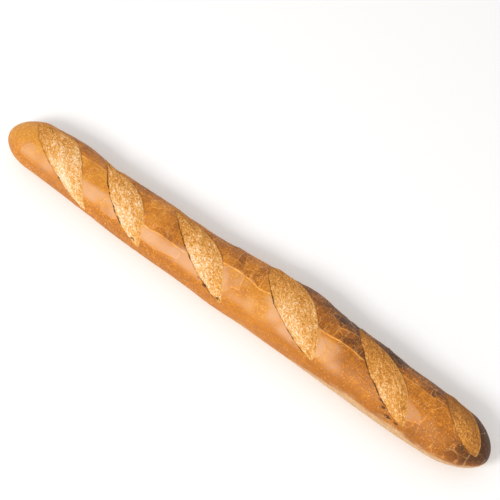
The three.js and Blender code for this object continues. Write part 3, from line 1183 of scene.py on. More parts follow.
@dataclass
class SkinGrid:
    """The rings and columns of the skin's mesh.

    Attributes:
        relief: The form that the mesh follows.
        columns: Points on a ring.
        crown_density: How evenly they are spread; under 1 crowds them over the crown.
        end_rings: Rings from each tip to the nearest slash.
        slash_rings: Rings across a slash.
        bridge_rings: Rings across the crust between two slashes.
        edge_crowding: How far the rings crowd towards the torn edges, 0 to 1.
    """

    relief: LoafRelief = field(default_factory=LoafRelief)
    columns: int = 172
    crown_density: float = 0.62
    end_rings: int = 50
    slash_rings: int = 46
    bridge_rings: int = 38
    edge_crowding: float = 0.7

    def angles(self) -> np.ndarray:
        """Angles of the columns, closest together over the crown."""
        v = 2.0 * np.arange(1, self.columns + 1) / self.columns - 1.0
        return 180.0 * (self.crown_density * v + (1.0 - self.crown_density) * v**3)

    def rings(self) -> np.ndarray:
        """Where each ring crosses each column.

        Returns:
            Places along the loaf, shape (rings, columns).
        """
        angles = self.angles()
        half = self.relief.plain.length / 2
        guides = [slash.guide(angles, edge) for slash in self.relief.slashes for edge in Edge]
        places = []
        for i in range(1, self.end_rings):
            places.append(-half + (guides[0] + half) * (i / self.end_rings) ** 2)
        for index, (low, high) in enumerate(zip(guides, guides[1:])):
            count = self.bridge_rings if index % 2 else self.slash_rings
            for i in range(count):
                even = i / count
                crowded = 0.5 - 0.5 * math.cos(math.pi * even)
                share = even + (crowded - even) * self.edge_crowding
                places.append(low + (high - low) * share)
        for i in range(self.end_rings, 0, -1):
            places.append(half + (guides[-1] - half) * (i / self.end_rings) ** 2)
        return np.array(places)


# ---- Node helpers ------------------------------------------------------------------------------


Socket = bpy.types.NodeSocket


def linear(colour: str) -> tuple[float, float, float, float]:
    """Turn an sRGB hex colour to linear.

    Args:
        colour: Six hex digits after a #.

    Returns:
        Red, green, blue and an alpha of 1.
    """
    parts = [int(colour[i : i + 2], 16) / 255.0 for i in (1, 3, 5)]
    flat = [p / 12.92 if p <= 0.04045 else ((p + 0.055) / 1.055) ** 2.4 for p in parts]
    return (*flat, 1.0)


def add_node(
    tree: bpy.types.NodeTree, kind: str, settings: dict | None = None, **inputs: object
) -> bpy.types.Node:
    """Add a node with its settings and links.

    Args:
        tree: Tree to add to.
        kind: The node's type name.
        settings: Properties of the node itself.
        **inputs: Input sockets by name, with _ for a space, or by number as i0, i1 and so on. A value
            is a socket to link, a constant or a hex colour.

    Returns:
        The new node.
    """
    node = tree.nodes.new(kind)
    for name, value in (settings or {}).items():
        setattr(node, name, value)
    for name, value in inputs.items():
        numbered = name[0] == "i" and name[1:].isdigit()
        socket = node.inputs[int(name[1:])] if numbered else node.inputs[name.replace("_", " ")]
        if isinstance(value, Socket):
            tree.links.new(value, socket)
        elif isinstance(value, str) and value.startswith("#"):
            socket.default_value = linear(value)
        else:
            socket.default_value = value
    return node


class Step(Enum):
    """What the commonest nodes do.

    Each is a node's type name, its settings, the numbers of the inputs that it takes, and its output's.
    """

    ADD = ("ShaderNodeMath", {"operation": "ADD"}, (0, 1), 0)
    SUBTRACT = ("ShaderNodeMath", {"operation": "SUBTRACT"}, (0, 1), 0)
    MULTIPLY = ("ShaderNodeMath", {"operation": "MULTIPLY"}, (0, 1), 0)
    MAXIMUM = ("ShaderNodeMath", {"operation": "MAXIMUM"}, (0, 1), 0)
    ABSOLUTE = ("ShaderNodeMath", {"operation": "ABSOLUTE"}, (0,), 0)
    STRETCH = ("ShaderNodeVectorMath", {"operation": "MULTIPLY"}, (0, 1), 0)
    BETWEEN = ("ShaderNodeVectorMath", {"operation": "SUBTRACT"}, (0, 1), 0)
    DOT = ("ShaderNodeVectorMath", {"operation": "DOT_PRODUCT"}, (0, 1), 1)
    SCALE = ("ShaderNodeVectorMath", {"operation": "SCALE"}, (0, 3), 0)
    SPAN = ("ShaderNodeMapRange", {"interpolation_type": "SMOOTHSTEP"}, (0, 1, 2, 3, 4), 0)
    MIX = ("ShaderNodeMix", {"data_type": "RGBA"}, (0, 6, 7), 2)
    DICE = ("FunctionNodeRandomValue", {"data_type": "FLOAT"}, (2, 3, 8), 1)
    PLACE = ("ShaderNodeTexCoord", {}, (), 3)


@dataclass
class Weave:
    """A shader or geometry tree under construction.

    Attributes:
        tree: The tree.
    """

    tree: bpy.types.NodeTree

    def add(self, kind: str, settings: dict | None = None, **inputs: object) -> bpy.types.Node:
        """Add a node; see add_node."""
        return add_node(self.tree, kind, settings, **inputs)

    def step(self, step: Step, *values: object) -> Socket:
        """Add one of the commonest nodes.

        Args:
            step: What it does. SPAN maps low..high smoothly to 0..1, or to two more numbers.
            *values: Its inputs in order, each a socket, a constant or a hex colour.

        Returns:
            Its output.
        """
        kind, settings, numbers, output = step.value
        inputs = {f"i{number}": value for number, value in zip(numbers, values)}
        return self.add(kind, settings, **inputs).outputs[output]

    def blend(self, *parts: tuple[Socket, float]) -> Socket:
        """Add up numbers, each times its own weight."""
        total = self.step(Step.MULTIPLY, *parts[0])
        for value, weight in parts[1:]:
            total = self.step(Step.ADD, total, self.step(Step.MULTIPLY, value, weight))
        return total

    def noise(self, vector: object, size: float, detail: float = 2.0, rough: float = 0.5) -> Socket:
        """Noise from about -0.5 to 0.5, with bumps of a real size in millimetres; vector is in metres."""
        looks = {"Scale": 1.0 / (size * MM), "Detail": detail, "Roughness": rough}
        made = self.add("ShaderNodeTexNoise", None, Vector=vector, **looks)
        return self.step(Step.SUBTRACT, made.outputs["Fac"], 0.5)

    def tiles(self, place: object) -> tuple[Socket, Socket, Socket]:
        """The crackled crust's tiles, at a place in tile sizes.

        Args:
            place: The place, as a vector socket.

        Returns:
            Distance to the tile's edge, the tile's own random vector, and the tile's middle.
        """
        name, loose = "ShaderNodeTexVoronoi", 0.75
        edge = self.add(name, {"feature": "DISTANCE_TO_EDGE"}, Vector=place, Scale=1.0, Randomness=loose)
        whole = self.add(name, {"feature": "F1"}, Vector=place, Scale=1.0, Randomness=loose)
        return edge.outputs["Distance"], whole.outputs["Color"], whole.outputs["Position"]

    def ramp(self, value: object, stops: tuple[tuple[float, str], ...]) -> Socket:
        """Colours along a scale, from (place, hex colour) stops."""
        node = self.add("ShaderNodeValToRGB", None, i0=value)
        elements = node.color_ramp.elements
        while len(elements) < len(stops):
            elements.new(1.0)
        for element, (place, colour) in zip(elements, stops):
            element.position = place
            element.color = linear(colour)
        return node.outputs[0]


@dataclass
class SurfaceWeave(Weave):
    """A material's tree.

    Attributes:
        made: The material.
    """

    made: bpy.types.Material

    @classmethod
    def start(cls, name: str) -> "SurfaceWeave":
        """Begin a material with nothing in its tree.

        Args:
            name: The material's name.

        Returns:
            The tree.
        """
        made = bpy.data.materials.new(name)
        made.use_nodes = True
        made.node_tree.nodes.clear()
        return cls(made.node_tree, made)

    def attribute(self, name: str, output: str = "Fac") -> Socket:
        """A number or vector kept on the mesh."""
        return self.add("ShaderNodeAttribute", {"attribute_name": name}).outputs[output]

    def finish(self, **looks: object) -> bpy.types.Material:
        """End the tree with one surface.

        Args:
            **looks: Inputs of the surface's shader, as add_node takes them.

        Returns:
            The material.
        """
        shader = self.add("ShaderNodeBsdfPrincipled", None, **looks)
        self.add("ShaderNodeOutputMaterial", None, Surface=shader.outputs[0])
        return self.made


@dataclass
class ShapeWeave(Weave):
    """A Geometry Nodes tree."""

    def attribute(self, name: str, kind: str = "FLOAT") -> Socket:
        """A number or vector kept on the mesh."""
        return self.add("GeometryNodeInputNamedAttribute", {"data_type": kind}, Name=name).outputs[0]

    @classmethod
    def start(cls, name: str, sizes: tuple[str, ...]) -> tuple["ShapeWeave", bpy.types.Node]:
        """Begin a tree that takes a mesh and some sizes in millimetres.

        Args:
            name: The tree's name.
            sizes: Names of the inputs.

        Returns:
            The tree, and the node that gives its inputs.
        """
        tree = bpy.data.node_groups.new(name, "GeometryNodeTree")
        tree.interface.new_socket("Geometry", in_out="INPUT", socket_type="NodeSocketGeometry")
        for size in sizes:
            tree.interface.new_socket(size, in_out="INPUT", socket_type="NodeSocketFloat")
        tree.interface.new_socket("Geometry", in_out="OUTPUT", socket_type="NodeSocketGeometry")
        weave = cls(tree)
        return weave, weave.add("NodeGroupInput")

    def finish(self, made: Socket, material: bpy.types.Material) -> None:
        """End the tree with whole meshes of one material."""
        whole = self.add("GeometryNodeRealizeInstances", None, i0=made)
        dressed = self.add("GeometryNodeSetMaterial", None, Geometry=whole.outputs[0], Material=material)
        self.add("NodeGroupOutput", None, Geometry=dressed.outputs[0])

    def run(self, source: bpy.types.Object, name: str, sizes: dict[str, float]) -> bpy.types.Object:
        """Apply the tree to an object's mesh.

        Args:
            source: The object to take the mesh from; it isn't changed.
            name: Name of the new object.
            sizes: The tree's inputs by name.

        Returns:
            A new object with a plain mesh, at the origin.
        """
        piece = bpy.data.objects.new(name, source.data)
        bpy.context.scene.collection.objects.link(piece)
        modifier = piece.modifiers.new(name, "NODES")
        modifier.node_group = self.tree
        for item in self.tree.interface.items_tree:
            if item.in_out == "INPUT" and item.name in sizes:
                modifier[item.identifier] = float(sizes[item.name])
        graph = bpy.context.evaluated_depsgraph_get()
        made = bpy.data.meshes.new_from_object(
            piece.evaluated_get(graph), preserve_all_data_layers=True, depsgraph=graph
        )
        piece.modifiers.clear()
        made.name = name
        piece.data = made
        return piece


# ---- Finishes ----------------------------------------------------------------------------------


@dataclass(frozen=True)
class BakedCrust:
    """Wheat crust browned in a deck oven.

    Sugars and proteins brown it from straw through amber to umber. Steam at the start of baking gives
    it a thin gelatinised skin, which leaves a satin, slightly waxy gloss and a fine wrinkled grain. Its
    colour also carries painted shade where the light falls less, and a pinkish painted highlight.

    Attributes:
        underside: The pale floured underside.
        dusky: The underside's duller places.
        golden: The palest crust.
        amber: Crust of a middling bake.
        chestnut: Crust baked darker.
        umber: The darkest crust, just short of burnt.
        split: Dry inner crust that shows in cracks and along the borders of plates.
        painted_highlight: Colour of the pinkish painted highlight.
        char: Scorched lip edges, and the painted shade in crevices and holes.
        roughness: How matt the crust is, 0 to 1.
        blotch: Size of its blotches, in millimetres.
        wrinkle: Size of its wrinkles.
        pore: Size of its pores.
        web: Size of the mesh of its tiny cracks.
    """

    underside: str = "#D4AC80"
    dusky: str = "#C3935F"
    golden: str = "#D99738"
    amber: str = "#C4771D"
    chestnut: str = "#96540C"
    umber: str = "#4C2808"
    split: str = "#F4C078"
    painted_highlight: str = "#DCAA82"
    char: str = "#4A2810"
    roughness: float = 0.42
    blotch: float = 6.0
    wrinkle: float = 1.5
    pore: float = 1.0
    web: float = 3.2

    def grain(self, weave: SurfaceWeave, place: Socket) -> Socket:
        """Build the crust's fine grain: wrinkles along and across the loaf, pores and tiny cracks.

        Args:
            weave: The material's tree.
            place: Object coordinates, in metres.

        Returns:
            A number from about -0.5 to 0.5.
        """
        lengthways = weave.step(Step.STRETCH, place, (0.22, 1.0, 1.0))
        crossways = weave.step(Step.STRETCH, place, (1.0, 0.35, 0.35))
        cracks = {"feature": "DISTANCE_TO_EDGE"}
        web = weave.add("ShaderNodeTexVoronoi", cracks, Vector=place, Scale=1.0 / (self.web * MM))
        return weave.blend(
            (weave.noise(lengthways, self.wrinkle, 3.0, 0.6), 0.55),
            (weave.noise(crossways, self.wrinkle, 3.0, 0.6), 0.45),
            (weave.noise(place, self.pore, 2.0, 0.6), 0.6),
            (weave.step(Step.SPAN, web.outputs["Distance"], 0.0, 0.2, -0.6, 0.2), 0.16),
        )

    def colour(self, weave: SurfaceWeave, place: Socket, grain: Socket) -> Socket:
        """Build the crust's colour.

        Args:
            weave: The material's tree.
            place: Object coordinates, in metres.
            grain: The crust's fine grain.

        Returns:
            The colour socket.
        """
        flake, plate_highlight_and_shade = weave.attribute("flake"), weave.attribute("plate_highlight_and_shade")
        on_plate_highlight_and_shade = weave.step(Step.MULTIPLY, weave.step(Step.SPAN, flake, -0.4, 0.4), plate_highlight_and_shade)
        edge, shade, _ = weave.tiles(weave.attribute("cell", "Vector"))
        tone = weave.step(Step.SUBTRACT, shade, 0.45)
        tone = weave.step(Step.MULTIPLY, tone, weave.attribute("crackle"))
        blotch = weave.noise(place, self.blotch, 4.0, 0.6)
        fine = weave.step(Step.SPAN, weave.attribute("calm"), 0.0, 1.0, 0.92, 0.5)
        fine = weave.step(Step.MULTIPLY, grain, fine)
        # Plates under 0 are darker: browner crust and painted shade.
        darker_plates = weave.step(Step.SPAN, on_plate_highlight_and_shade, 0.0, -1.0, 0.0, 0.4)
        base = weave.step(Step.ADD, weave.attribute("bake"), darker_plates)
        bake = weave.blend((base, 1.0), (blotch, 0.26), (fine, 0.78), (tone, 0.24))
        crust = weave.ramp(
            bake,
            (
                (0.16, self.golden),
                (0.48, self.amber),
                (0.74, self.chestnut),
                (1.0, self.umber),
            ),
        )
        dusted = weave.step(Step.SPAN, weave.blend((blotch, 1.0), (grain, 1.0)), -0.3, 0.3)
        floured = weave.step(Step.MIX, dusted, self.underside, self.dusky)
        crust = weave.step(Step.MIX, weave.attribute("under"), crust, floured)
        lighter = weave.step(Step.STRETCH, crust, (1.46, 1.42, 1.25))
        crust = weave.step(Step.MIX, weave.step(Step.SPAN, fine, 0.0, -0.24, 0.0, 0.5), crust, lighter)
        # The pinkish painted highlight: its band and the plates' painted highlights.
        painted_highlight = weave.blend((on_plate_highlight_and_shade, 0.26), (weave.attribute("painted_sheen"), 0.56), (grain, 1.0), (blotch, 0.4))
        crust = weave.step(Step.MIX, weave.step(Step.SPAN, painted_highlight, 0.0, 0.7, 0.0, 0.7), crust, self.painted_highlight)
        pale = weave.step(Step.MIX, 0.35, weave.step(Step.STRETCH, crust, (1.8, 1.8, 1.6)), self.split)
        return weave.step(Step.MIX, self._lines(weave, place, edge), crust, pale)

    @staticmethod
    def _lines(weave: SurfaceWeave, place: Socket, edge: Socket) -> Socket:
        """Build the thin pale lines of cracks, creases and the plates' borders, faint here and there.

        Args:
            weave: The material's tree.
            place: Object coordinates, in metres.
            edge: Distance to the edge of the crust's tile.

        Returns:
            How strongly a line shows, 0 to 1.
        """
        split = weave.step(Step.SPAN, edge, 0.05, 0.016, 0.0, 0.65)
        split = weave.step(Step.MULTIPLY, split, weave.attribute("crackle"))
        border = weave.step(Step.ABSOLUTE, weave.attribute("flake"))
        border = weave.step(Step.SPAN, border, 0.75, 0.3, 0.0, 0.8)
        weaker = weave.step(Step.SPAN, weave.attribute("plate_highlight_and_shade"), -0.2, 0.2, 0.75, 0.55)
        border = weave.step(Step.MULTIPLY, border, weaker)
        crease = weave.step(Step.SPAN, weave.step(Step.ABSOLUTE, weave.attribute("fold")), 0.9, 0.3)
        crease = weave.step(Step.MULTIPLY, crease, weave.attribute("crease"))
        lines = weave.step(Step.MAXIMUM, split, weave.step(Step.MAXIMUM, border, crease))
        faint = weave.step(Step.SPAN, weave.noise(place, 9.0, 2.0), -0.16, 0.12, 0.25, 1.0)
        return weave.step(Step.MULTIPLY, lines, faint)


@dataclass(frozen=True)
class TornCrumb:
    """Crumb that burst through a slash late in the bake.

    It is dry, matt and fibrous, cream where it opened last and toasted tan where it opened first. Its
    colour also carries painted shade by the far tip, towards +X and in hollows, and painted light on what
    stands proud and beside the lip's lower half.

    Attributes:
        cream: Fresh crumb, and painted light on crumb standing proud.
        straw: Crumb that has just begun to dry.
        tan: Toasted crumb.
        ochre: Crumb toasted longer.
        scorched: The darkest crumb: the most toasted, and the painted shade deep in its hollows.
        roughness: How matt it is, 0 to 1.
        fleck: Size of its blotches, in millimetres.
        fibre: Thickness of its fibres.
    """

    cream: str = "#FBE8CF"
    straw: str = "#EFBD79"
    tan: str = "#DD9A44"
    ochre: str = "#C47E2E"
    scorched: str = "#9C652E"
    roughness: float = 0.85
    fleck: float = 2.0
    fibre: float = 1.0

    def shade(self, weave: SurfaceWeave, value: Socket) -> Socket:
        """Colours of the crumb, from scorched at 0 to cream at 1."""
        stops = (
            (0.05, self.scorched),
            (0.28, self.ochre),
            (0.46, self.tan),
            (0.66, self.straw),
            (0.88, self.cream),
        )
        return weave.ramp(value, stops)

    def colour(self, weave: SurfaceWeave, place: Socket) -> Socket:
        """Build the colour of the crumb between the grains, with painted light and shade after its relief.

        Args:
            weave: The material's tree.
            place: Object coordinates, in metres.

        Returns:
            The colour socket.
        """
        grain = weave.step(Step.STRETCH, weave.attribute("grain", "Vector"), (0.45 * MM, MM, MM))
        value = weave.blend(
            (weave.noise(grain, self.fibre, 3.0, 0.65), 0.8),
            (weave.noise(place, self.fleck, 3.0, 0.6), 0.9),
            # Painted light on the crumb's high places and painted shade in its hollows.
            (weave.attribute("relief_shade"), 0.30),
            (weave.attribute("toast_and_shade"), -0.75),
        )
        return self.shade(weave, weave.step(Step.ADD, value, 0.56))

    def grain_colour(self, weave: SurfaceWeave, place: Socket) -> Socket:
        """Build the colour of the loose grains, paler than the crumb between them: drier crumb and painted
        light.

        Args:
            weave: The material's tree.
            place: Object coordinates, in metres.

        Returns:
            The colour socket.
        """
        value = weave.blend(
            (weave.attribute("tone"), 0.36),
            (weave.noise(place, self.fleck, 2.0, 0.6), 0.6),
            # Painted light on the crumb's high places and painted shade in its hollows.
            (weave.attribute("relief_shade"), 0.25),
            (weave.attribute("toast_and_shade"), -0.75),
        )
        return self.shade(weave, weave.step(Step.ADD, value, 0.53))


@dataclass(frozen=True)
class LoafSkinFinish:
    """The crust and the crumb on one skin, parted along the torn edges of the slashes.

    Attributes:
        crust: The crust's own colours.
        crumb: The crumb's own colours.
    """

    crust: BakedCrust = BakedCrust()
    crumb: TornCrumb = TornCrumb()

    def material(self) -> bpy.types.Material:
        """Build the material.

        Returns:
            A material that reads the skin's attributes.
        """
        weave = SurfaceWeave.start("baked_crust_and_crumb")
        place = weave.step(Step.PLACE)
        grain = self.crust.grain(weave, place)
        ragged = weave.noise(place, 1.2, 3.0, 0.6)
        reach = weave.blend((weave.attribute("crumb"), 1.0), (ragged, 1.6))
        inside = weave.step(Step.SPAN, reach, -0.15, 0.35)
        crust, crumb = self.crust.colour(weave, place, grain), self.crumb.colour(weave, place)
        colour = weave.step(Step.MIX, inside, crust, crumb)
        colour = self._edged(weave, colour, reach)
        roughness = weave.step(Step.SPAN, inside, 0.0, 1.0, self.crust.roughness, self.crumb.roughness)
        coarse = weave.step(Step.MULTIPLY, weave.noise(place, 1.1, 4.0, 0.7), inside)
        height = weave.blend((grain, 1.0), (coarse, 1.0))
        bump = weave.add("ShaderNodeBump", None, Strength=0.8, Distance=0.6 * MM, Height=height)
        facing = weave.add("ShaderNodeLayerWeight", None, Blend=0.5).outputs["Facing"]
        gloss = weave.step(Step.SPAN, facing, 0.45, 0.9, 0.5, 0.08)
        looks = {"Base_Color": colour, "Roughness": roughness, "Specular_IOR_Level": gloss}
        return weave.finish(**looks, IOR=1.35, Normal=bump.outputs[0])

    def _edged(self, weave: SurfaceWeave, colour: Socket, reach: Socket) -> Socket:
        """Draw the torn edges: a pale rim line, and painted shade in the crevice under the lip and in
        holes.

        Args:
            weave: The material's tree.
            colour: The colour of crust and crumb.
            reach: Distance in from the torn edge, under 0 on the crust.

        Returns:
            The colour with its edges.
        """
        across = weave.attribute("across")
        rim = weave.step(Step.ABSOLUTE, weave.step(Step.SUBTRACT, reach, 0.3))
        pale = weave.step(Step.SPAN, rim, 1.0, 0.3, 0.0, 0.4)
        pale = weave.step(Step.MULTIPLY, pale, weave.step(Step.SPAN, across, 0.6, 0.9))
        colour = weave.step(Step.MIX, pale, colour, self.crumb.straw)
        # Painted shadow in the crevice under the lip, in the colour of its scorched edge.
        line = weave.step(Step.SPAN, rim, 0.85, 0.25)
        line = weave.step(Step.MULTIPLY, line, weave.step(Step.SPAN, across, 0.4, 0.15))
        line = weave.step(Step.MULTIPLY, line, weave.attribute("crevice"))
        dark = weave.step(Step.MAXIMUM, line, weave.step(Step.SPAN, weave.attribute("hole"), 0.15, 0.7))
        return weave.step(Step.MIX, weave.step(Step.MULTIPLY, dark, 0.85), colour, self.crust.char)


@dataclass(frozen=True)
class DryGrainFinish:
    """Loose grains of dry toasted crumb, matt and slightly rough.

    Attributes:
        crumb: The crumb that they were torn from.
    """

    crumb: TornCrumb = TornCrumb()

    def material(self) -> bpy.types.Material:
        """Build the material of the grains."""
        weave = SurfaceWeave.start("dry_toasted_crumb")
        colour = self.crumb.grain_colour(weave, weave.step(Step.PLACE))
        return weave.finish(Base_Color=colour, Roughness=self.crumb.roughness, IOR=1.45)


@dataclass(frozen=True)
class FlourBlisterFinish:
    """Dry wheat flour baked on to tiny blisters of crust: matt, pale and a little uneven.

    Attributes:
        flour: The most floured specks.
        crust: Those with the least flour.
        roughness: How matt they are, 0 to 1.
    """

    flour: str = "#EDC48E"
    crust: str = "#DD9A4A"
    roughness: float = 0.6

    def material(self) -> bpy.types.Material:
        """Build the material of the specks."""
        weave = SurfaceWeave.start("baked_on_flour")
        colour = weave.step(Step.MIX, weave.attribute("tone"), self.crust, self.flour)
        return weave.finish(Base_Color=colour, Roughness=self.roughness, IOR=1.45)


# ---- Geometry Nodes ----------------------------------------------------------------------------


@dataclass(frozen=True)
class CrackledTiles:
    """The crust's small tiles, which dried, cracked apart and tipped a little.

    Attributes:
        tilt: How far a tile tips from side to side, in millimetres.
        dish: How far its edges turn down, in millimetres.
        edge: Width of the turned edge, in tile sizes.
    """

    tilt: float = 0.8
    dish: float = 0.35
    edge: float = 0.09

    def raised(self, skin: bpy.types.Object, material: bpy.types.Material) -> bpy.types.Object:
        """Raise the tiles on the skin where it crackled.

        Args:
            skin: The skin, with its cell and crackle attributes.
            material: The skin's material.

        Returns:
            A new object with the tiled skin.
        """
        weave, given = ShapeWeave.start("crackled_tiles", ("Tilt", "Dish"))
        place = weave.attribute("cell", "FLOAT_VECTOR")
        edge, shade, middle = weave.tiles(place)
        lean = weave.step(Step.BETWEEN, shade, (0.5, 0.5, 0.5))
        off = weave.step(Step.BETWEEN, place, middle)
        tip = weave.step(Step.MULTIPLY, weave.step(Step.DOT, lean, off), given.outputs["Tilt"])
        turned = weave.step(Step.SPAN, edge, 0.0, self.edge, -1.0, 0.0)
        turned = weave.step(Step.MULTIPLY, turned, given.outputs["Dish"])
        height = weave.step(Step.ADD, weave.step(Step.MULTIPLY, tip, 2.0), turned)
        height = weave.step(Step.MULTIPLY, height, weave.attribute("crackle"))
        normal = weave.add("GeometryNodeInputNormal").outputs[0]
        offset = weave.step(Step.SCALE, normal, weave.step(Step.MULTIPLY, height, MM))
        moved = weave.add("GeometryNodeSetPosition", None, Geometry=given.outputs[0], Offset=offset)
        weave.finish(moved.outputs[0], material)
        return weave.run(skin, "loaf_skin", {"Tilt": self.tilt, "Dish": self.dish})


@dataclass(frozen=True)
class Strewn:
    """Small things of one kind, strewn over the skin.

    Attributes:
        name: The piece's name.
        share: The skin's attribute that says how thickly they lie.
        density: How many lie on a square millimetre at most.
        length: Their length, in millimetres.
        width: Their width.
        height: Their height.
        spread: How much smaller than that the smallest are, as a share.
        sink: How deep their middles lie under the skin, in millimetres.
        twist: How far they turn from the fibres either way, in degrees.
        seed: Their own random pattern.
    """

    name: str
    share: str
    density: float
    length: float
    width: float
    height: float
    spread: float
    sink: float
    twist: float
    seed: int

    def over(self, skin: bpy.types.Object, material: bpy.types.Material) -> bpy.types.Object:
        """Strew them over the skin.

        Args:
            skin: The skin, with its fibre attribute and the one named by share.
            material: What they are made of.

        Returns:
            A new object with all of them as one plain mesh.
        """
        weave, given = ShapeWeave.start(self.name, ("Density", "Length", "Width", "Height", "Sink"))
        thick = weave.step(Step.MULTIPLY, weave.attribute(self.share), given.outputs["Density"])
        strewn = weave.add(
            "GeometryNodeDistributePointsOnFaces", None,
            Mesh=given.outputs[0], Density=weave.step(Step.MULTIPLY, thick, 1.0 / MM**2), Seed=self.seed,
        )
        normal = strewn.outputs["Normal"]
        under = weave.step(Step.SCALE, normal, weave.step(Step.MULTIPLY, given.outputs["Sink"], -MM))
        toned = weave.add(
            "GeometryNodeStoreNamedAttribute", {"data_type": "FLOAT", "domain": "POINT"},
            Geometry=strewn.outputs["Points"], Name="tone",
            Value=weave.step(Step.DICE, 0.0, 1.0, self.seed + 2),
        )
        placed = weave.add("GeometryNodeSetPosition", None, Geometry=toned.outputs[0], Offset=under)
        ball = weave.add("GeometryNodeMeshIcoSphere", None, Radius=1.0, Subdivisions=1)
        smooth = weave.add("GeometryNodeSetShadeSmooth", None, Geometry=ball.outputs[0])
        many = weave.add(
            "GeometryNodeInstanceOnPoints", None,
            Points=placed.outputs[0], Instance=smooth.outputs[0],
            Rotation=self._turned(weave, normal), Scale=self._scaled(weave, given),
        )
        weave.finish(many.outputs[0], material)
        sizes = {"Density": self.density, "Length": self.length, "Width": self.width}
        return weave.run(skin, self.name, sizes | {"Height": self.height, "Sink": self.sink})

    def _turned(self, weave: ShapeWeave, normal: Socket) -> Socket:
        """Lay each one flat on the skin along the fibres, and turn it a little at random.

        Args:
            weave: The tree.
            normal: The skin's outward direction under it.

        Returns:
            Its rotation.
        """
        upright = weave.add("FunctionNodeAlignRotationToVector", {"axis": "Z"}, Vector=normal)
        laid = weave.add(
            "FunctionNodeAlignRotationToVector", {"axis": "X", "pivot_axis": "Z"},
            Rotation=upright.outputs[0], Vector=weave.attribute("fibre", "FLOAT_VECTOR"),
        )
        twist = math.radians(self.twist)
        angle = weave.step(Step.DICE, -twist, twist, self.seed + 1)
        turn = weave.add("FunctionNodeAxisAngleToRotation", None, Axis=(0.0, 0.0, 1.0), Angle=angle)
        turned = weave.add(
            "FunctionNodeRotateRotation", {"rotation_space": "LOCAL"},
            Rotation=laid.outputs[0], Rotate_By=turn.outputs[0],
        )
        return turned.outputs[0]

    def _scaled(self, weave: ShapeWeave, given: bpy.types.Node) -> Socket:
        """Give each one its size.

        Args:
            weave: The tree.
            given: The node that gives the tree's inputs.

        Returns:
            Its scale along each of its own axes.
        """
        sides = {"X": given.outputs["Length"], "Y": given.outputs["Width"], "Z": given.outputs["Height"]}
        halves = {axis: weave.step(Step.MULTIPLY, side, 0.5 * MM) for axis, side in sides.items()}
        box = weave.add("ShaderNodeCombineXYZ", None, **halves)
        size = weave.step(Step.DICE, 1.0 - self.spread, 1.0, self.seed + 3)
        return weave.step(Step.SCALE, box.outputs[0], size)


# ---- The loaf ----------------------------------------------------------------------------------


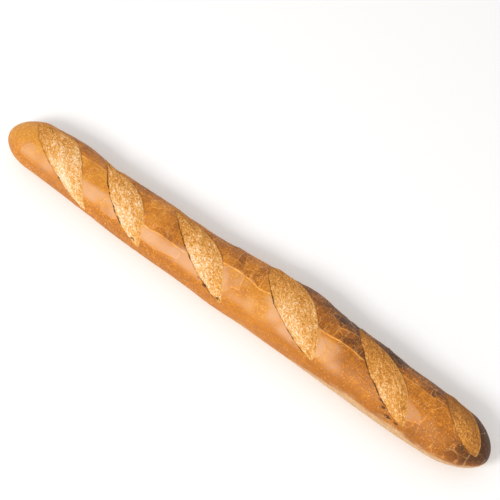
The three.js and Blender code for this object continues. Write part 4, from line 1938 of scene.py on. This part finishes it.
@dataclass
class Loaf:
    """The baguette: its skin as one closed mesh, and the small things that lie on it.

    Attributes:
        grid: The rings and columns of the skin.
        finish: What the skin looks like.
        tiles: The small tiles where the crust crackled.
        grains: The torn grains of crumb in the slashes.
        specks: The flour specks on the crust.
    """

    grid: SkinGrid = field(default_factory=SkinGrid)
    finish: LoafSkinFinish = LoafSkinFinish()
    tiles: CrackledTiles = CrackledTiles()
    grains: Strewn = Strewn("crumb_grains", "grains", 0.74, 4.0, 1.15, 1.0, 0.6, 0.15, 42.0, 3)
    specks: Strewn = Strewn("flour_specks", "specks", 0.08, 1.5, 1.1, 0.5, 0.6, 0.05, 90.0, 9)

    def build(self) -> list[bpy.types.Object]:
        """Make the pieces, dress them, and let the skin stand for the CAD loaf.

        Returns:
            The finished objects.
        """
        bare = self._skin()
        skin = self.tiles.raised(bare, self.finish.material())
        bpy.data.objects.remove(bare)
        self._fit(skin.data)
        strewn = [
            self.grains.over(skin, DryGrainFinish(self.finish.crumb).material()),
            self.specks.over(skin, FlourBlisterFinish().material()),
        ]
        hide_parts(NODE)
        for piece in (skin, *strewn):
            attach(piece, BODY)
        return [skin, *strewn]

    def _skin(self) -> bpy.types.Object:
        """Make the skin's mesh with its attributes.

        Returns:
            The skin before its crust crackled.
        """
        relief = self.grid.relief
        rings = self.grid.rings()
        angles = np.broadcast_to(self.grid.angles(), rings.shape)
        patch = relief.study(rings.ravel(), angles.ravel())
        skin = patch.plain + patch.normal * patch.height[:, None]
        skin[:, 0] += patch.slide
        half, spine = relief.plain.length / 2, relief.plain.spine_height
        skin = np.vstack([[-half, 0.0, spine], skin, [half, 0.0, spine]])
        skin[:, 0] = np.clip(skin[:, 0], -half, half)
        skin[:, 2] = np.maximum(skin[:, 2], 0.0)
        mesh = bpy.data.meshes.new("loaf_skin")
        mesh.from_pydata((skin * MM).tolist(), [], self._faces(*rings.shape))
        mesh.shade_smooth()
        for name, values in patch.kept().items():
            kind, part = ("FLOAT", "value") if values.ndim == 1 else ("FLOAT_VECTOR", "vector")
            closed = np.concatenate([values[:1], values, values[-1:]]).astype(np.float32)
            mesh.attributes.new(name, kind, "POINT").data.foreach_set(part, closed.ravel())
        bare = bpy.data.objects.new("bare_skin", mesh)
        bpy.context.scene.collection.objects.link(bare)
        return bare

    @staticmethod
    def _fit(mesh: bpy.types.Mesh) -> None:
        """Bring the skin exactly into the CAD loaf's box."""
        low, high = (np.array(corner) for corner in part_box(NODE))
        points = np.empty(len(mesh.vertices) * 3)
        mesh.vertices.foreach_get("co", points)
        skin = points.reshape(-1, 3)
        own_low, own_high = skin.min(axis=0), skin.max(axis=0)
        fitted = low + (skin - own_low) * (high - low) / (own_high - own_low)
        mesh.vertices.foreach_set("co", fitted.ravel())
        mesh.update()

    @staticmethod
    def _faces(rings: int, columns: int) -> list[list[int]]:
        """Faces of a closed skin: a fan at each tip, and quads between the rings.

        Args:
            rings: Number of rings.
            columns: Points on each ring.

        Returns:
            Point numbers of each face, turned outwards.
        """
        ring, column = np.meshgrid(np.arange(rings - 1), np.arange(columns), indexing="ij")
        following = (column + 1) % columns
        first = 1 + ring * columns
        corners = [first + column, first + following, first + columns + following, first + columns + column]
        quads = np.stack(corners, axis=-1).reshape(-1, 4).tolist()
        around = np.arange(columns)
        after = (around + 1) % columns
        last = 1 + (rings - 1) * columns
        tip = last + columns
        start = np.stack([np.zeros_like(around), 1 + after, 1 + around], axis=-1).tolist()
        finish = np.stack([np.full_like(around, tip), last + around, last + after], axis=-1).tolist()
        return start + quads + finish


# ---- Studio ------------------------------------------------------------------------------------


@dataclass(frozen=True)
class Viewpoint:
    """Where the camera stands, as seen from the loaf's middle.

    Attributes:
        azimuth: Degrees round from straight in front of the near side, towards +X.
        elevation: Degrees above the floor.
        distance: Metres to the loaf's middle.
        height: Metres from the floor to the loaf's middle.
        view_angle: Degrees across the picture.
        shift_right: Share of the picture's width that the view slides to the right.
        shift_up: Share of the picture's width that the view slides up.
    """

    azimuth: float = 36.76
    elevation: float = 68.0
    distance: float = 1.3
    height: float = 0.022
    view_angle: float = 22.07
    shift_right: float = 0.0188
    shift_up: float = 0.0656

    def axes(self) -> tuple[Vector, Vector, Vector]:
        """Directions to the picture's right, to its top, and back to the camera."""
        a, e = math.radians(self.azimuth), math.radians(self.elevation)
        right = Vector((math.cos(a), math.sin(a), 0.0))
        back = Vector((math.sin(a) * math.cos(e), -math.cos(a) * math.cos(e), math.sin(e)))
        return right, back.cross(right), back

    def place(self) -> bpy.types.Object:
        """Make the camera and use it.

        Returns:
            The camera.
        """
        back = self.axes()[2]
        data = bpy.data.cameras.new("camera")
        data.sensor_fit = "HORIZONTAL"
        data.angle = math.radians(self.view_angle)
        data.shift_x = self.shift_right
        data.shift_y = self.shift_up
        camera = bpy.data.objects.new("camera", data)
        camera.location = Vector((0.0, 0.0, self.height)) + back * self.distance
        camera.rotation_euler = back.to_track_quat("Z", "Y").to_euler()
        bpy.context.scene.collection.objects.link(camera)
        bpy.context.scene.camera = camera
        return camera


@dataclass(frozen=True)
class SoftLight:
    """One studio softbox, placed in the picture's own directions.

    Attributes:
        name: Its name.
        right: How far it stands to the picture's right, next to up and back.
        up: How far it stands towards the picture's top.
        back: How far it stands towards the camera.
        distance: Metres from the loaf.
        size: Metres along its edge.
        watts: Its power.
        colour: Its colour.
    """

    name: str
    right: float
    up: float
    back: float
    distance: float
    size: float
    watts: float
    colour: str = "#FFFFFF"

    def place(self, view: Viewpoint) -> bpy.types.Object:
        """Hang the softbox so that it faces the loaf.

        Args:
            view: The viewpoint whose directions it is placed by.

        Returns:
            The light.
        """
        right, up, back = view.axes()
        towards = (right * self.right + up * self.up + back * self.back).normalized()
        data = bpy.data.lights.new(self.name, "AREA")
        data.size = self.size
        data.energy = self.watts
        data.color = linear(self.colour)[:3]
        light = bpy.data.objects.new(self.name, data)
        light.location = towards * self.distance
        light.rotation_euler = towards.to_track_quat("Z", "Y").to_euler()
        bpy.context.scene.collection.objects.link(light)
        return light


@dataclass
class Studio:
    """A plain pale floor, soft lights and the camera.

    Attributes:
        view: Where the camera stands.
        floor_size: Metres along the floor's edge.
        floor_colour: Colour of its paint.
        floor_drop: How far it lies under the loaf, in metres, so that the two don't coincide.
        sky_colour: Colour of the light from all round.
        sky_strength: Strength of that light.
        lights: The softboxes.
    """

    view: Viewpoint = Viewpoint()
    floor_size: float = 12.0
    floor_colour: str = "#F8F7F6"
    floor_drop: float = 0.0004
    sky_colour: str = "#FFFFFF"
    sky_strength: float = 0.80
    lights: tuple[SoftLight, ...] = (SoftLight("key", -0.53, -0.12, 0.84, 1.7, 0.5, 15.0),)

    def build(self) -> None:
        """Set up everything round the loaf."""
        scene = bpy.context.scene
        scene.view_settings.view_transform = "Standard"
        world = bpy.data.worlds.new("studio")
        world.use_nodes = True
        background = world.node_tree.nodes["Background"]
        background.inputs["Color"].default_value = linear(self.sky_colour)
        background.inputs["Strength"].default_value = self.sky_strength
        scene.world = world
        for light in self.lights:
            light.place(self.view)
        self._floor()
        self.view.place()

    def _floor(self) -> None:
        """Lay the floor: a matt painted board."""
        half = self.floor_size / 2
        corners = [(-half, -half), (half, -half), (half, half), (-half, half)]
        mesh = bpy.data.meshes.new("floor")
        mesh.from_pydata([(x, y, -self.floor_drop) for x, y in corners], [], [(0, 1, 2, 3)])
        paint = bpy.data.materials.new("matt_white_paint")
        paint.use_nodes = True
        shader = paint.node_tree.nodes["Principled BSDF"]
        shader.inputs["Base Color"].default_value = linear(self.floor_colour)
        shader.inputs["Roughness"].default_value = 0.9
        mesh.materials.append(paint)
        floor = bpy.data.objects.new("floor", mesh)
        bpy.context.scene.collection.objects.link(floor)


def report(piece: bpy.types.Object) -> None:
    """Log a piece's name and size."""
    log.info("%s: %d faces", piece.name, len(piece.data.polygons))


def main() -> None:
    """Build the loaf and the studio, in order."""
    logging.basicConfig(level=logging.INFO)
    Studio().build()
    for piece in Loaf().build():
        report(piece)


if __name__ == "__main__":
    main()
